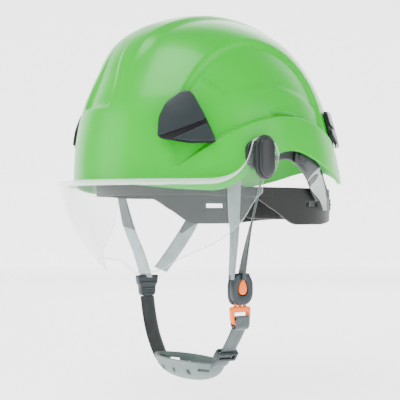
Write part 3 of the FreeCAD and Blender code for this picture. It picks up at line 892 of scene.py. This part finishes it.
class HAT_OT_straps(bpy.types.Operator):
    """Lace the harness webbing"""
    bl_idname = "hat.straps"
    bl_label = "Harness straps"

    def execute(self, context):
        wide = sizes().webbing
        thick = 0.0014
        ribbon("strap_front_near", [
            ((0.0955, -0.0420, 0.0300), (0.98, 0.216, 0.0)), ((0.0910, -0.0385, 0.0060), (0.98, 0.15, 0.0)),
            ((0.0850, -0.0340, -0.0200), (0.99, 0.0, 0.0)), ((0.0820, -0.0315, -0.0340), (0.99, -0.14, 0.0)),
            ((0.0780, -0.0300, -0.0550), (0.97, -0.24, 0.0)),
            ((0.0750, -0.0296, -0.0735), (0.945, -0.326, 0.0))],
            wide, thick, "webbing_grey", "helmet", ["front_strap_left"])
        ribbon("strap_rear_near", [
            ((0.0955, -0.0100, 0.0270), IN_VIEW), ((0.0910, -0.0110, 0.0070), IN_VIEW),
            ((0.0850, -0.0148, -0.0230), IN_VIEW), ((0.0830, -0.0159, -0.0320), (0.87, -0.49, 0.0)),
            ((0.0800, -0.0187, -0.0530), (0.95, -0.30, 0.0)),
            ((0.0770, -0.0208, -0.0740), (0.99, -0.14, 0.0))],
            wide * 0.9, thick, "webbing_dark", "helmet", ["rear_strap_left"])
        far = {
            "front": [((-0.0962, -0.0430, 0.0300), (0.98, -0.198, 0.0)),
                      ((-0.0915, -0.0400, 0.0040), (0.98, -0.10, 0.0)),
                      ((-0.0850, -0.0340, -0.0320), (0.98, 0.216, 0.0)),
                      ((-0.0790, -0.0270, -0.0560), (0.965, 0.26, 0.0)),
                      ((-0.0755, -0.0210, -0.0790), (0.951, 0.309, 0.0))],
            "rear": [((-0.0870, 0.0580, 0.0210), (0.0, 0.85, -0.5)),
                     ((-0.0865, 0.0490, -0.0040), (0.0, 0.8, -0.55)),
                     ((-0.0840, 0.0365, -0.0280), (0.0, 0.8, -0.55)),
                     ((-0.0820, 0.0190, -0.0500), (0.0, 0.85, -0.5)),
                     ((-0.0795, -0.0020, -0.0725), (0.0, 0.9, -0.35))]}
        for name, points in far.items():
            node = name + "_strap_right"
            ribbon("strap_%s_far" % name, points, wide, thick, "webbing_light", "helmet",
                   [node])
            # painted shadow: each far strap gets a thin dark webbing sheet over its upper part, cut on a
            # slant, for the shade the shell casts on it
            painted_shadow = Vector((0.0004, -0.0012, 0.0)) if name == "front" else Vector((0.0012, 0.0, 0.0))
            cover = [(Vector(point) + painted_shadow, across) for point, across in points]
            overlay = cover[:3] + [((Vector(cover[2][0]) + Vector(cover[3][0])) / 2, cover[3][1])]
            piece = ribbon("strap_%s_far_doubled" % name, overlay, wide * 1.02, thick * 0.7, "webbing_dark",
                           "helmet", [node])
            slant_shadow_end(piece, 0.9 if name == "front" else -0.55)
        return {"FINISHED"}


def slant_shadow_end(piece, slope):
    """Cuts the lower end of a painted shadow sheet on a slant, for the shadow's edge."""
    data = bmesh.new()
    data.from_mesh(piece.data)
    lowest = min(vert.co.z for vert in data.verts)
    middle = sum((vert.co for vert in data.verts if vert.co.z < lowest + 0.004), Vector())
    count = sum(1 for vert in data.verts if vert.co.z < lowest + 0.004)
    centre = middle / count + Vector((0, 0, 0.008))
    plane = Vector((0, -slope, -1)).normalized()
    made = bmesh.ops.bisect_plane(data, geom=data.verts[:] + data.edges[:] + data.faces[:], plane_co=centre,
                                  plane_no=plane, clear_outer=True)
    rim = [item for item in made["geom_cut"] if isinstance(item, bmesh.types.BMEdge)]
    bmesh.ops.holes_fill(data, edges=rim)
    data.to_mesh(piece.data)
    data.free()


# ---------------------------------------------------------------- headband, nape and pads

BAND_POWER = 3.0
NAPE_POWER = 2.3
NAPE_START = -0.187


def band_point(turn, half_wide, half_long, back, power=BAND_POWER):
    """A point on a squarish plan oval; turn 0 is the wearer's left and a quarter turn the back."""
    c, sn = math.cos(turn), math.sin(turn)
    return Vector((math.copysign(abs(c) ** (2 / power), c) * half_wide,
                   back + math.copysign(abs(sn) ** (2 / power), sn) * half_long, 0))


def band(start, end, half_wide, half_long, back, low, high, columns, rows, power=BAND_POWER):
    """A curved wall from one turn to another; low and high are functions of the turn."""
    def place(u, v):
        turn = start + (end - start) * u
        spot = band_point(turn, half_wide, half_long, back, power)
        spot.z = low(turn) + (high(turn) - low(turn)) * v
        return spot
    return face_out(sheet_mesh(columns, rows, place), (0, 0, 0.01))


def punch(data, holes):
    """Opens slots in a wall: every face whose centre passes the test goes."""
    bmesh.ops.delete(data, geom=[face for face in data.faces if holes(face.calc_center_median())],
                     context="FACES")
    return data


class HAT_OT_headband(bpy.types.Operator):
    """Mould the headband and nape cradle"""
    bl_idname = "hat.headband"
    bl_label = "Headband"

    def execute(self, context):
        quarter = math.pi / 2

        def low(turn):
            return -0.0036 + 0.0010 * step(0.33, 0.53, -math.sin(turn))

        def high(turn):
            return 0.0040 + 0.0195 * step(0.14, 0.34, -math.sin(turn))

        data = band(-quarter * 2, 0, 0.0823, 0.1038, 0.008, low, high, 220, 26)
        slots = (-0.084, -0.066)

        def slot(spot):
            return abs(spot.x) > 0.05 and any(abs(spot.y - y) < 0.0085 and abs(spot.z - 0.010) < 0.0022
                                              for y in slots)
        punch(data, slot)
        piece = finish_piece(data, "headband_wall", "band_black", "helmet", ["headband"])
        thicken(piece, 0.0018, bevel=0.0005)

        def nape_low(turn):
            rear = math.sin(turn)
            return -0.0030 - 0.0248 * step(-0.19, 0.22, rear) + 0.0045 * step(0.5, 0.97, rear)

        def nape_high(turn):
            return 0.0046

        cradle = band(NAPE_START, math.pi - NAPE_START, 0.0788, 0.1078, 0.010, nape_low, nape_high, 200, 24,
                      NAPE_POWER)

        def window(spot):
            return 0.050 < spot.y < 0.066 and abs(spot.z + 0.010) < 0.0022
        punch(cradle, window)
        piece = finish_piece(cradle, "nape_wall", "band_black", "nape", ["nape_cradle"])
        thicken(piece, 0.0024, bevel=0.0006)
        rib = band(0.06 * math.pi, 0.94 * math.pi, 0.0790, 0.1080, 0.010, lambda t: nape_low(t) + 0.0025,
                   lambda t: nape_low(t) + 0.0050, 120, 6, NAPE_POWER)
        piece = finish_piece(rib, "nape_rib", "band_black", "nape", ["nape_cradle"])
        thicken(piece, 0.0012, bevel=0.0005)
        return {"FINISHED"}


def pad_skin(start, end, half_wide, half_long, back, low, high, thick, channels, power=BAND_POWER):
    """A closed, crowned foam pad that lines a band, with sewn channels across it."""
    columns, rows = 160, 22

    def place(u, v):
        turn = start + (end - start) * u
        ring = 2 * math.pi * v
        tall = 0.5 - 0.5 * math.cos(ring)
        inner = math.sin(ring) if math.sin(ring) > 0 else 0.0
        crown = inner ** 0.55
        taper = (1 - abs(2 * u - 1) ** 8) ** 0.5
        groove = 0.55 + 0.45 * min(1.0, abs(math.sin(math.pi * channels * u)) ** 0.35)
        inset = thick * crown * max(taper, 0.05) * groove
        spot = band_point(turn, half_wide - inset, half_long - inset, back, power)
        level = low(turn) + (high(turn) - low(turn)) * tall
        middle = (low(turn) + high(turn)) / 2
        spot.z = middle + (level - middle) * max(taper, 0.2) ** 0.3
        return spot

    data = sheet_mesh(columns, rows, place)
    bmesh.ops.remove_doubles(data, verts=data.verts, dist=2e-6)
    bmesh.ops.holes_fill(data, edges=[edge for edge in data.edges if edge.is_boundary])
    bmesh.ops.recalc_face_normals(data, faces=data.faces)
    return data


class HAT_OT_pads(bpy.types.Operator):
    """Sew the brow, nape and crown pads"""
    bl_idname = "hat.pads"
    bl_label = "Pads"

    def execute(self, context):
        quarter = math.pi / 2
        data = pad_skin(-quarter * 1.70, -quarter * 0.30, 0.0802, 0.1017, 0.008, lambda t: -0.0020,
                        lambda t: 0.0205, 0.0040, 9)
        brow = finish_piece(data, "brow_cushion", "pad_black", "helmet", ["brow_pad"])
        data = pad_skin(quarter * 0.47, quarter * 1.53, 0.0762, 0.1052, 0.010, lambda t: -0.0235,
                        lambda t: 0.0015, 0.0050, 7, NAPE_POWER)
        nape = finish_piece(data, "nape_cushion", "pad_black", "nape", ["nape_pad"])
        low, high = corners("crown_pad")
        centre = (low + high) / 2
        half = (high - low) / 2
        data = bmesh.new()
        bmesh.ops.create_cube(data, size=2)
        bmesh.ops.subdivide_edges(data, edges=data.edges[:], cuts=23, use_grid_fill=True)
        for vert in data.verts:
            x, y, z = vert.co
            round_off = (1 - 0.16 * y * y) * (1 - 0.10 * x ** 4), (1 - 0.16 * x * x) * (1 - 0.10 * y ** 4)
            quilt = 0.62 + 0.38 * min(1.0, (abs(math.sin(1.5 * math.pi * (x + y) / 1.4))
                                            * abs(math.sin(1.5 * math.pi * (x - y) / 1.4))) ** 0.3)
            edge = max(abs(x), abs(y))
            crown = (1 - 0.62 * edge ** 6) * quilt
            vert.co = centre + Vector((x * half.x * round_off[0], y * half.y * round_off[1],
                                       z * half.z * crown))
        crown_pad = finish_piece(data, "crown_cushion", "pad_black", "helmet", ["crown_pad"])
        return {"FINISHED"}


def arch_path(reach, rise, foot, axis, offset, count=14):
    """Control points of a strap over the crown, in the XZ or YZ plane."""
    points = []
    for index in range(count + 1):
        turn = math.pi * index / count
        run, up = reach * math.cos(turn), foot + rise * math.sin(turn)
        if axis == 0:
            points.append(((run, offset, up), (0, 1, 0)))
        else:
            points.append(((offset, run, up), (1, 0, 0)))
    return points


class HAT_OT_cradle(bpy.types.Operator):
    """Hang the crown cradle and its clips"""
    bl_idname = "hat.cradle"
    bl_label = "Crown cradle"

    def execute(self, context):
        low, high = corners("crown_strap_long")
        ribbon("crown_webbing_long", arch_path(high.y - 0.0008, high.z - low.z - 0.0008, low.z, 1, 0.0),
               high.x - low.x, 0.0014, "crown_webbing", "helmet", ["crown_strap_long"], 90)
        low, high = corners("crown_strap_cross")
        ribbon("crown_webbing_cross", arch_path(high.x - 0.0008, high.z - low.z - 0.0008, low.z, 0,
                                                (low.y + high.y) / 2),
               high.y - low.y, 0.0014, "crown_webbing", "helmet", ["crown_strap_cross"], 90)
        clips = []
        for y in (-0.042, -0.014, 0.024):
            for side, sign in SIDES:
                x = 0.0975 if y < 0.02 else 0.1005
                clip = joined([
                    prism(rounded([(y - 0.0075, 0.0245), (y + 0.0075, 0.0245), (y + 0.0065, 0.0355),
                                   (y - 0.0065, 0.0355)], 0.003), (1, 2), x - 0.0005, x + 0.0022, 0.0006),
                    prism(disc(0.0032, 24, (y, 0.0300)), (1, 2), x - 0.0016, x + 0.0030, 0.0004)])
                if sign < 0:
                    mirror_x(clip)
                clips.append(clip)
        finish_piece(joined(clips), "clips_moulded", "bracket_black", "helmet",
                     ["suspension_clips"])
        for side, sign in SIDES:
            self.hanger(side, sign)
        return {"FINISHED"}

    def hanger(self, side, sign):
        """The plastic arm from the shell to the nape cradle, pale grey, with painted shadow: its upper part,
        in the rim's shade, is drawn near-black.
        """
        points = [((0.1030, -0.0060, 0.0310), (0, 0.25, 1)), ((0.1015, 0.0120, 0.0330), (0, 0.1, 1)),
                  ((0.0965, 0.0310, 0.0270), (0, 0.45, 0.9)), ((0.0890, 0.0490, 0.0170), (0, 0.75, 0.66)),
                  ((0.0800, 0.0620, 0.0060), (-0.1, 0.9, 0.44)),
                  ((0.0755, 0.0720, -0.0050), (-0.2, 1.0, 0.2)),
                  ((0.0730, 0.0770, -0.0150), (-0.2, 1.0, 0.1))]
        points = [((x * sign, y, z), (a * sign, b, c)) for (x, y, z), (a, b, c) in points]
        node = "nape_hanger_" + side
        split = 5
        # painted shadow: the upper arm, in the rim's shade, is drawn in the near-black copy; the pale tail
        # below has the hanger's own grey
        ribbon("hanger_shadowed_arm_" + side, points[:split + 1], lambda t: 0.012 + 0.008 * step(0.1, 0.7, t), 0.0016,
               "hanger_grey", "helmet", [node], 50, crown=0.0012 * sign)
        ribbon("hanger_tail_" + side, points[split - 2:],
               lambda t: 0.0192 - 0.0150 * step(0.15, 1.0, t), 0.0019,
               "hanger_light", "helmet", [node], 40, crown=0.0012 * sign)


# ---------------------------------------------------------------- ratchet

class HAT_OT_ratchet(bpy.types.Operator):
    """Mould the ratchet housing and knob"""
    bl_idname = "hat.ratchet"
    bl_label = "Ratchet"

    def execute(self, context):
        low, high = corners("ratchet_housing")
        mid_z = (low.z + high.z) / 2
        outline = rounded([(low.x, low.z + 0.007), (low.x + 0.010, low.z), (high.x - 0.010, low.z),
                           (high.x, low.z + 0.007), (high.x, high.z - 0.007), (high.x - 0.010, high.z),
                           (low.x + 0.010, high.z), (low.x, high.z - 0.007)], 0.005)
        parts = [prism(outline, (0, 2), low.y + 0.0004, high.y - 0.0025, 0.0014),
                 prism(disc(0.0150, 60, (0.0, mid_z)), (0, 2), high.y - 0.0030, high.y - 0.0002, 0.0006)]
        for side, sign in SIDES:
            for k in range(3):
                x = sign * (0.0185 + 0.0024 * k)
                parts.append(prism(rounded(rectangle(x - 0.0007, x + 0.0007, mid_z - 0.008, mid_z + 0.008), 0.0006, 2), (0, 2), high.y - 0.0028, high.y - 0.0016, 0.0003, 2))
        finish_piece(joined(parts), "ratchet_case", "band_black", "nape", ["ratchet_housing"])
        low, high = corners("ratchet_knob")
        teeth = 24
        outline = []
        for k in range(teeth * 6):
            turn = 2 * math.pi * k / (teeth * 6)
            wave = 0.5 + 0.5 * math.cos(teeth * turn)
            radius = 0.0169 - 0.0011 * (1 - wave) ** 2
            outline.append((radius * math.cos(turn), mid_z + radius * math.sin(turn)))
        knob = joined([prism(outline, (0, 2), low.y, high.y - 0.0008, 0.0007, 2),
                       prism(disc(0.0125, 60, (0.0, mid_z)), (0, 2), high.y - 0.0020, high.y, 0.0007)])
        finish_piece(knob, "ratchet_grip", "knob_black", "ratchet", ["ratchet_knob"])
        repaint("ratchet_pinion", "band_black")
        return {"FINISHED"}


# ---------------------------------------------------------------- buckle, divider and slider

def oval(centre, half_a, half_b, power=2.4, steps=48, egg=0.0):
    points = []
    for k in range(steps):
        turn = 2 * math.pi * k / steps
        c, sn = math.cos(turn), math.sin(turn)
        wide = half_a * (1 - egg * sn)
        points.append((centre[0] + math.copysign(abs(c) ** (2 / power), c) * wide,
                       centre[1] + math.copysign(abs(sn) ** (2 / power), sn) * half_b))
    return points


def ringed(outer, inner, plane, low, high, bevel=0.0005):
    """A plate with one opening: two outlines with the same number of points, joined all round."""
    data = bmesh.new()
    first, second = plane
    third = 3 - first - second
    loops = []
    for level in (low, high):
        for outline in (outer, inner):
            row = []
            for a, b in outline:
                spot = [0.0, 0.0, 0.0]
                spot[first], spot[second], spot[third] = a, b, level
                row.append(data.verts.new(spot))
            loops.append(row)
    total = len(outer)
    for one, two in ((0, 1), (3, 2), (2, 0), (1, 3)):
        for k in range(total):
            after = (k + 1) % total
            data.faces.new((loops[one][k], loops[one][after], loops[two][after], loops[two][k]))
    bmesh.ops.recalc_face_normals(data, faces=data.faces)
    if bevel:
        sharp = [edge for edge in data.edges if edge.calc_face_angle(0) > math.radians(50)]
        bmesh.ops.bevel(data, geom=sharp, offset=bevel, affect="EDGES", segments=2, profile=0.5, material=-1)
    return data


class HAT_OT_buckle(bpy.types.Operator):
    """Mould the side release buckle"""
    bl_idname = "hat.buckle"
    bl_label = "Buckle"

    def execute(self, context):
        low, high = corners("buckle_housing")
        mid = (low + high) / 2
        button = corners("release_button")
        spot = (mid.y, (button[0].z + button[1].z) / 2)
        well = oval(spot, 0.0046, 0.0071, 2.2, 48, egg=0.28)
        rim = oval((mid.y, mid.z + 0.0008), 0.0108, 0.0132, 2.6, 48)
        case = joined([
            prism(oval((mid.y, mid.z), 0.0108, 0.0133, 3.0), (1, 2), low.x + 0.0002, high.x - 0.0048,
                  0.0016),
            ringed(rim, well, (1, 2), high.x - 0.0050, high.x, 0.0008),
            prism(rounded([(mid.y - 0.0098, high.z - 0.0045), (mid.y + 0.0098, high.z - 0.0045),
                           (mid.y + 0.0088, high.z + 0.0005), (mid.y - 0.0088, high.z + 0.0005)], 0.002),
                  (1, 2), low.x + 0.0012, high.x - 0.0022, 0.0007)])
        finish_piece(case, "buckle_case", "buckle_black", "helmet", ["buckle_housing"])
        press = prism(oval(spot, 0.0040, 0.0064, 2.1, 40, egg=0.30), (1, 2), button[0].x,
                      button[1].x - 0.0006, 0.0009, 4)
        finish_piece(press, "release_press", "release_orange", "button",
                     ["release_button"])
        low, high = corners("buckle_tongue")
        top = corners("buckle_housing")[0].z - 0.0004
        mid = (low + high) / 2
        outer = rounded([(low.y, top), (high.y, top), (high.y - 0.001, low.z + 0.004),
                         (high.y - 0.006, low.z), (low.y + 0.006, low.z),
                         (low.y + 0.001, low.z + 0.004)], 0.003, 3)
        inner = rounded([(low.y + 0.0028, top - 0.0048), (high.y - 0.0028, top - 0.0048),
                         (high.y - 0.0032, low.z + 0.0058), (high.y - 0.0062, low.z + 0.0042),
                         (low.y + 0.0062, low.z + 0.0042), (low.y + 0.0032, low.z + 0.0058)], 0.0015, 3)
        parts = [ringed(outer, inner, (1, 2), low.x, high.x, 0.0007)]
        for shift in (-0.0048, 0.0, 0.0048):
            y = mid.y + shift
            parts.append(prism(rounded([(y - 0.0014, top - 0.001), (y + 0.0014, top - 0.001),
                                        (y + 0.0009, high.z), (y - 0.0009, high.z)], 0.001),
                               (1, 2), mid.x - 0.0011, mid.x + 0.0009, 0.0004, 2))
        finish_piece(joined(parts), "tongue_frame", "release_orange", "chin_loop",
                     ["buckle_tongue"])
        wide = sizes().webbing
        bar = low.z + 0.0030
        turns = ((0.0040, top - 0.0085), (0.0046, bar + 0.004), (0.0036, bar - 0.003), (0.0, bar - 0.0052),
                 (-0.0034, bar - 0.002), (-0.0036, bar + 0.004), (-0.0005, top - 0.0085),
                 (0.0040, top - 0.0085))
        ribbon("tongue_loop", side_facing([(mid.x + shift, mid.y, height) for shift, height in turns]),
               wide * 0.92, 0.0013, "webbing_dark", "chin_loop", ["chin_strap_left"], 60)
        return {"FINISHED"}


class HAT_OT_divider(bpy.types.Operator):
    """Mould the strap divider on the far side"""
    bl_idname = "hat.divider"
    bl_label = "Strap divider"

    def execute(self, context):
        low, high = corners("side_adjuster")
        mid = (low + high) / 2
        tall = high.z - low.z
        body = [(low.y, high.z), (high.y, high.z), (high.y - 0.0012, high.z - tall * 0.42),
                (high.y - 0.0030, high.z - tall * 0.50), (high.y - 0.0036, low.z + 0.0015),
                (high.y - 0.0060, low.z), (low.y + 0.0060, low.z), (low.y + 0.0036, low.z + 0.0015),
                (low.y + 0.0030, high.z - tall * 0.50), (low.y + 0.0012, high.z - tall * 0.42)]
        parts = [prism(rounded(body, 0.0016, 3), (1, 2), mid.x - 0.0036, mid.x + 0.0036, 0.0012)]
        for face, sign in ((mid.x + 0.0036, 1), (mid.x - 0.0036, -1)):
            lip = [(low.y + 0.003, high.z - 0.0062), (high.y - 0.003, high.z - 0.0062),
                   (high.y - 0.0035, high.z - 0.0094), (low.y + 0.0035, high.z - 0.0094)]
            parts.append(prism(rounded(lip, 0.001), (1, 2), face - 0.001, face + 0.0012 * sign, 0.0005))
            for k in range(3):
                level = low.z + 0.0022 + 0.0026 * k
                bar = rectangle(low.y + 0.0052, high.y - 0.0052, level - 0.0008, level + 0.0008)
                parts.append(prism(rounded(bar, 0.0006, 2), (1, 2), face - 0.0008, face + 0.0008 * sign,
                                   0.0003, 2))
        finish_piece(joined(parts), "divider_body", "buckle_black", "helmet",
                     ["side_adjuster"])
        return {"FINISHED"}


def turned(data, start, end, facing):
    """Moves a piece drawn on Z (width on X, face on Y) so that it lies along start to end."""
    up = (end - start).normalized()
    across = up.cross(facing).normalized()
    normal = across.cross(up)
    turn = Matrix((across, normal, up)).transposed().to_4x4()
    turn.translation = start
    bmesh.ops.transform(data, matrix=turn, verts=data.verts)
    return data


class HAT_OT_chin(bpy.types.Operator):
    """Make the chin straps, slider and chin cup"""
    bl_idname = "hat.chin"
    bl_label = "Chin loop"

    def execute(self, context):
        wide = sizes().webbing
        cup_low, cup_high = corners("chin_cup")
        tongue = corners("buckle_tongue")
        start = (tongue[0] + tongue[1]) / 2
        start.z = tongue[0].z - 0.0006
        end = Vector((cup_high.x + 0.0005, (cup_low.y + cup_high.y) / 2, cup_high.z + 0.0006))
        run = end - start
        inner = Vector((-0.0055, 0, 0))
        ribbon("chin_webbing_near", side_facing([
            start + Vector((0.0, 0, 0.0016)), start + run * 0.3, start + run * 0.65,
            end, end + run * 0.12 + inner * 0.6, end + run * 0.26 + inner]),
            wide, 0.0014, "webbing_dark", "chin_loop", ["chin_strap_left"])
        slider = corners("strap_slider")
        slider_mid = (slider[0] + slider[1]) / 2
        half = 0.0106
        outer = rounded(rectangle(-half, half, -0.005, 0.005), 0.0018, 3)
        gap = rounded(rectangle(-half + 0.0024, half - 0.0024, -0.0022, 0.0022), 0.0008, 3)
        bars = [ringed(outer, gap, (0, 2), 0.0012, 0.0030, 0.0005),
                ringed(outer, gap, (0, 2), -0.0030, -0.0012, 0.0005)]
        for x in (-half + 0.0010, half - 0.0010):
            post = rectangle(x - 0.0008, x + 0.0008, -0.0045, 0.0045)
            bars.append(prism(post, (0, 2), -0.0014, 0.0014, 0.0003, 2))
        for k in range(7):
            x = -0.0075 + 0.0025 * k
            tooth = rectangle(x - 0.0007, x + 0.0007, 0.0024, 0.0048)
            for face in (0.0028, -0.0038):
                bars.append(prism(tooth, (0, 2), face, face + 0.0010, 0.0002, 2))
        frame_body = turned(joined(bars), slider_mid, slider_mid - run, Vector((1, 0, 0)))
        finish_piece(frame_body, "slider_frame", "buckle_black", "slider", ["strap_slider"])

        chin = corners("chin_strap_right")
        top = Vector((chin[0].x + 0.0008, (chin[0].y + chin[1].y) / 2 + 0.0015, chin[1].z - 0.0002))
        foot = Vector((-cup_high.x - 0.0005, end.y, end.z))
        drop = foot - top
        bow = Vector((-0.0040, 0, 0))
        ribbon("chin_webbing_far", side_facing([
            top, top + drop * 0.33 + bow * 0.8, top + drop * 0.68 + bow,
            foot, foot + drop * 0.12 - inner * 0.8, foot + drop * 0.22 - inner * 2.2]),
            wide, 0.0015, "webbing_black", "chin_loop", ["chin_strap_right"])
        self.cup(cup_low, cup_high)
        return {"FINISHED"}

    def cup(self, low, high):
        """A soft moulded trough with a rolled lip, drain holes and a strap slot at each end."""
        mid = (low + high) / 2
        half = (high - low) / 2
        columns, rows = 132, 36

        def place(u, v):
            turn = 2 * math.pi * u
            climb = v * math.pi / 2
            ring = math.cos(climb) ** 0.85
            lip = 0.0012 * (1 - step(0.0, 0.10, v))
            x = math.cos(turn) * ring * (half.x + lip - 0.0008)
            y = math.sin(turn) * ring * (half.y + lip - 0.0008)
            z = high.z - math.sin(climb) ** 0.95 * (high.z - low.z - 0.0002)
            return Vector((mid.x + x, mid.y + y, z))

        data = sheet_mesh(columns, rows, place, closed=True)
        holes = [(-0.020, 0.0025), (0.0, 0.0025), (0.020, 0.0025)]

        def open_here(spot):
            if spot.y > mid.y - 0.004 and spot.y < mid.y + 0.004:
                return False
            for x, radius in holes:
                if math.hypot(spot.x - x, spot.z - (high.z - 0.0095)) < radius:
                    return True
            return abs(abs(spot.x) - 0.0375) < 0.0050 and abs(spot.z - (high.z - 0.0062)) < 0.0014
        punch(data, open_here)
        face_out(data, (mid.x, mid.y, high.z))
        piece = finish_piece(data, "chin_cup_moulded", "cup_grey", "chin_loop", ["chin_cup"])
        thicken(piece, 0.0022, bevel=0.0006)


# ---------------------------------------------------------------- stage

CAMERA_TURN = 55
CAMERA_DISTANCE = 0.92
CAMERA_LEVEL = -0.021


class HAT_OT_stage(bpy.types.Operator):
    """Set the pale floor, soft lights and camera"""
    bl_idname = "hat.stage"
    bl_label = "Stage"

    def execute(self, context):
        paint = bpy.data.materials.new("studio_white")
        paint.use_nodes = True
        shader = paint.node_tree.nodes["Principled BSDF"]
        shader.inputs["Base Color"].default_value = (0.9, 0.9, 0.9, 1)
        shader.inputs["Roughness"].default_value = 0.9
        shader.inputs["Emission Color"].default_value = (1, 1, 1, 1)
        shader.inputs["Emission Strength"].default_value = 1.9
        floor_level = CAD_BOX[0][2] - 0.02
        turn = math.radians(CAMERA_TURN)
        away = Vector((-math.sin(turn), math.cos(turn), 0))
        for name, matrix in (
                ("floor", Matrix.Translation((0, 0, floor_level))),
                ("backdrop", Matrix.Translation(away * 2.6) @ Matrix.Rotation(turn, 4, "Z")
                 @ Matrix.Rotation(math.radians(90), 4, "X"))):
            data = bmesh.new()
            bmesh.ops.create_grid(data, x_segments=1, y_segments=1, size=4, matrix=matrix)
            mesh = bpy.data.meshes.new(name)
            data.to_mesh(mesh)
            data.free()
            mesh.materials.append(paint)
            sheet = bpy.data.objects.new(name, mesh)
            context.scene.collection.objects.link(sheet)
        world = context.scene.world or bpy.data.worlds.new("Studio")
        context.scene.world = world
        world.use_nodes = True
        background = world.node_tree.nodes["Background"]
        background.inputs["Color"].default_value = (1, 1, 1, 1)
        background.inputs["Strength"].default_value = 0.55
        lights = (("key", (0.34, -0.73, 1.30), 0.9, 26.0), ("left", (-0.45, -1.30, 0.30), 0.8, 7.0),
                  ("right", (1.15, 0.45, 0.35), 0.8, 6.0), ("back", (-0.9, 0.9, 0.7), 0.9, 8.0))
        for name, place, size, power in lights:
            lamp = bpy.data.lights.new(name, "AREA")
            lamp.energy = power
            lamp.size = size
            holder = bpy.data.objects.new(name, lamp)
            holder.location = place
            aim = Vector((0, 0, 0.02)) - Vector(place)
            holder.rotation_euler = aim.to_track_quat("-Z", "Y").to_euler()
            context.scene.collection.objects.link(holder)
        camera = bpy.data.cameras.new("camera")
        camera.lens = 90.3
        camera.sensor_width = 36
        camera.shift_x = -0.022
        camera.shift_y = 0.0425
        camera.clip_start = 0.05
        eye = bpy.data.objects.new("camera", camera)
        eye.location = (CAMERA_DISTANCE * math.sin(turn), -CAMERA_DISTANCE * math.cos(turn), CAMERA_LEVEL)
        eye.rotation_euler = (math.radians(90), 0, turn)
        context.scene.collection.objects.link(eye)
        context.scene.camera = eye
        return {"FINISHED"}


class HAT_PT_panel(bpy.types.Panel):
    """Buttons for each group of pieces"""
    bl_idname = "HAT_PT_panel"
    bl_label = "Hard hat"
    bl_space_type = "VIEW_3D"
    bl_region_type = "UI"
    bl_category = "Hard hat"

    def draw(self, context):
        for group in (context.scene.hat_sizes, context.scene.hat_colours):
            for key in group.__annotations__:
                self.layout.prop(group, key)
        for operator in OPERATORS:
            self.layout.operator(operator.bl_idname)


OPERATORS = (HAT_OT_stage, HAT_OT_shell, HAT_OT_vents, HAT_OT_visor, HAT_OT_pivots, HAT_OT_straps,
             HAT_OT_headband, HAT_OT_pads, HAT_OT_cradle, HAT_OT_ratchet, HAT_OT_buckle, HAT_OT_divider,
             HAT_OT_chin)
CLASSES = (HatSizes, HatColours, *OPERATORS, HAT_PT_panel)


def register():
    for item in CLASSES:
        bpy.utils.register_class(item)
    bpy.types.Scene.hat_sizes = bpy.props.PointerProperty(type=HatSizes)
    bpy.types.Scene.hat_colours = bpy.props.PointerProperty(type=HatColours)


def unregister():
    del bpy.types.Scene.hat_colours
    del bpy.types.Scene.hat_sizes
    for item in reversed(CLASSES):
        bpy.utils.unregister_class(item)


def main():
    register()
    make_finishes()
    for operator in OPERATORS:
        group, name = operator.bl_idname.split(".")
        getattr(getattr(bpy.ops, group), name)()


if __name__ == "__main__":
    main()
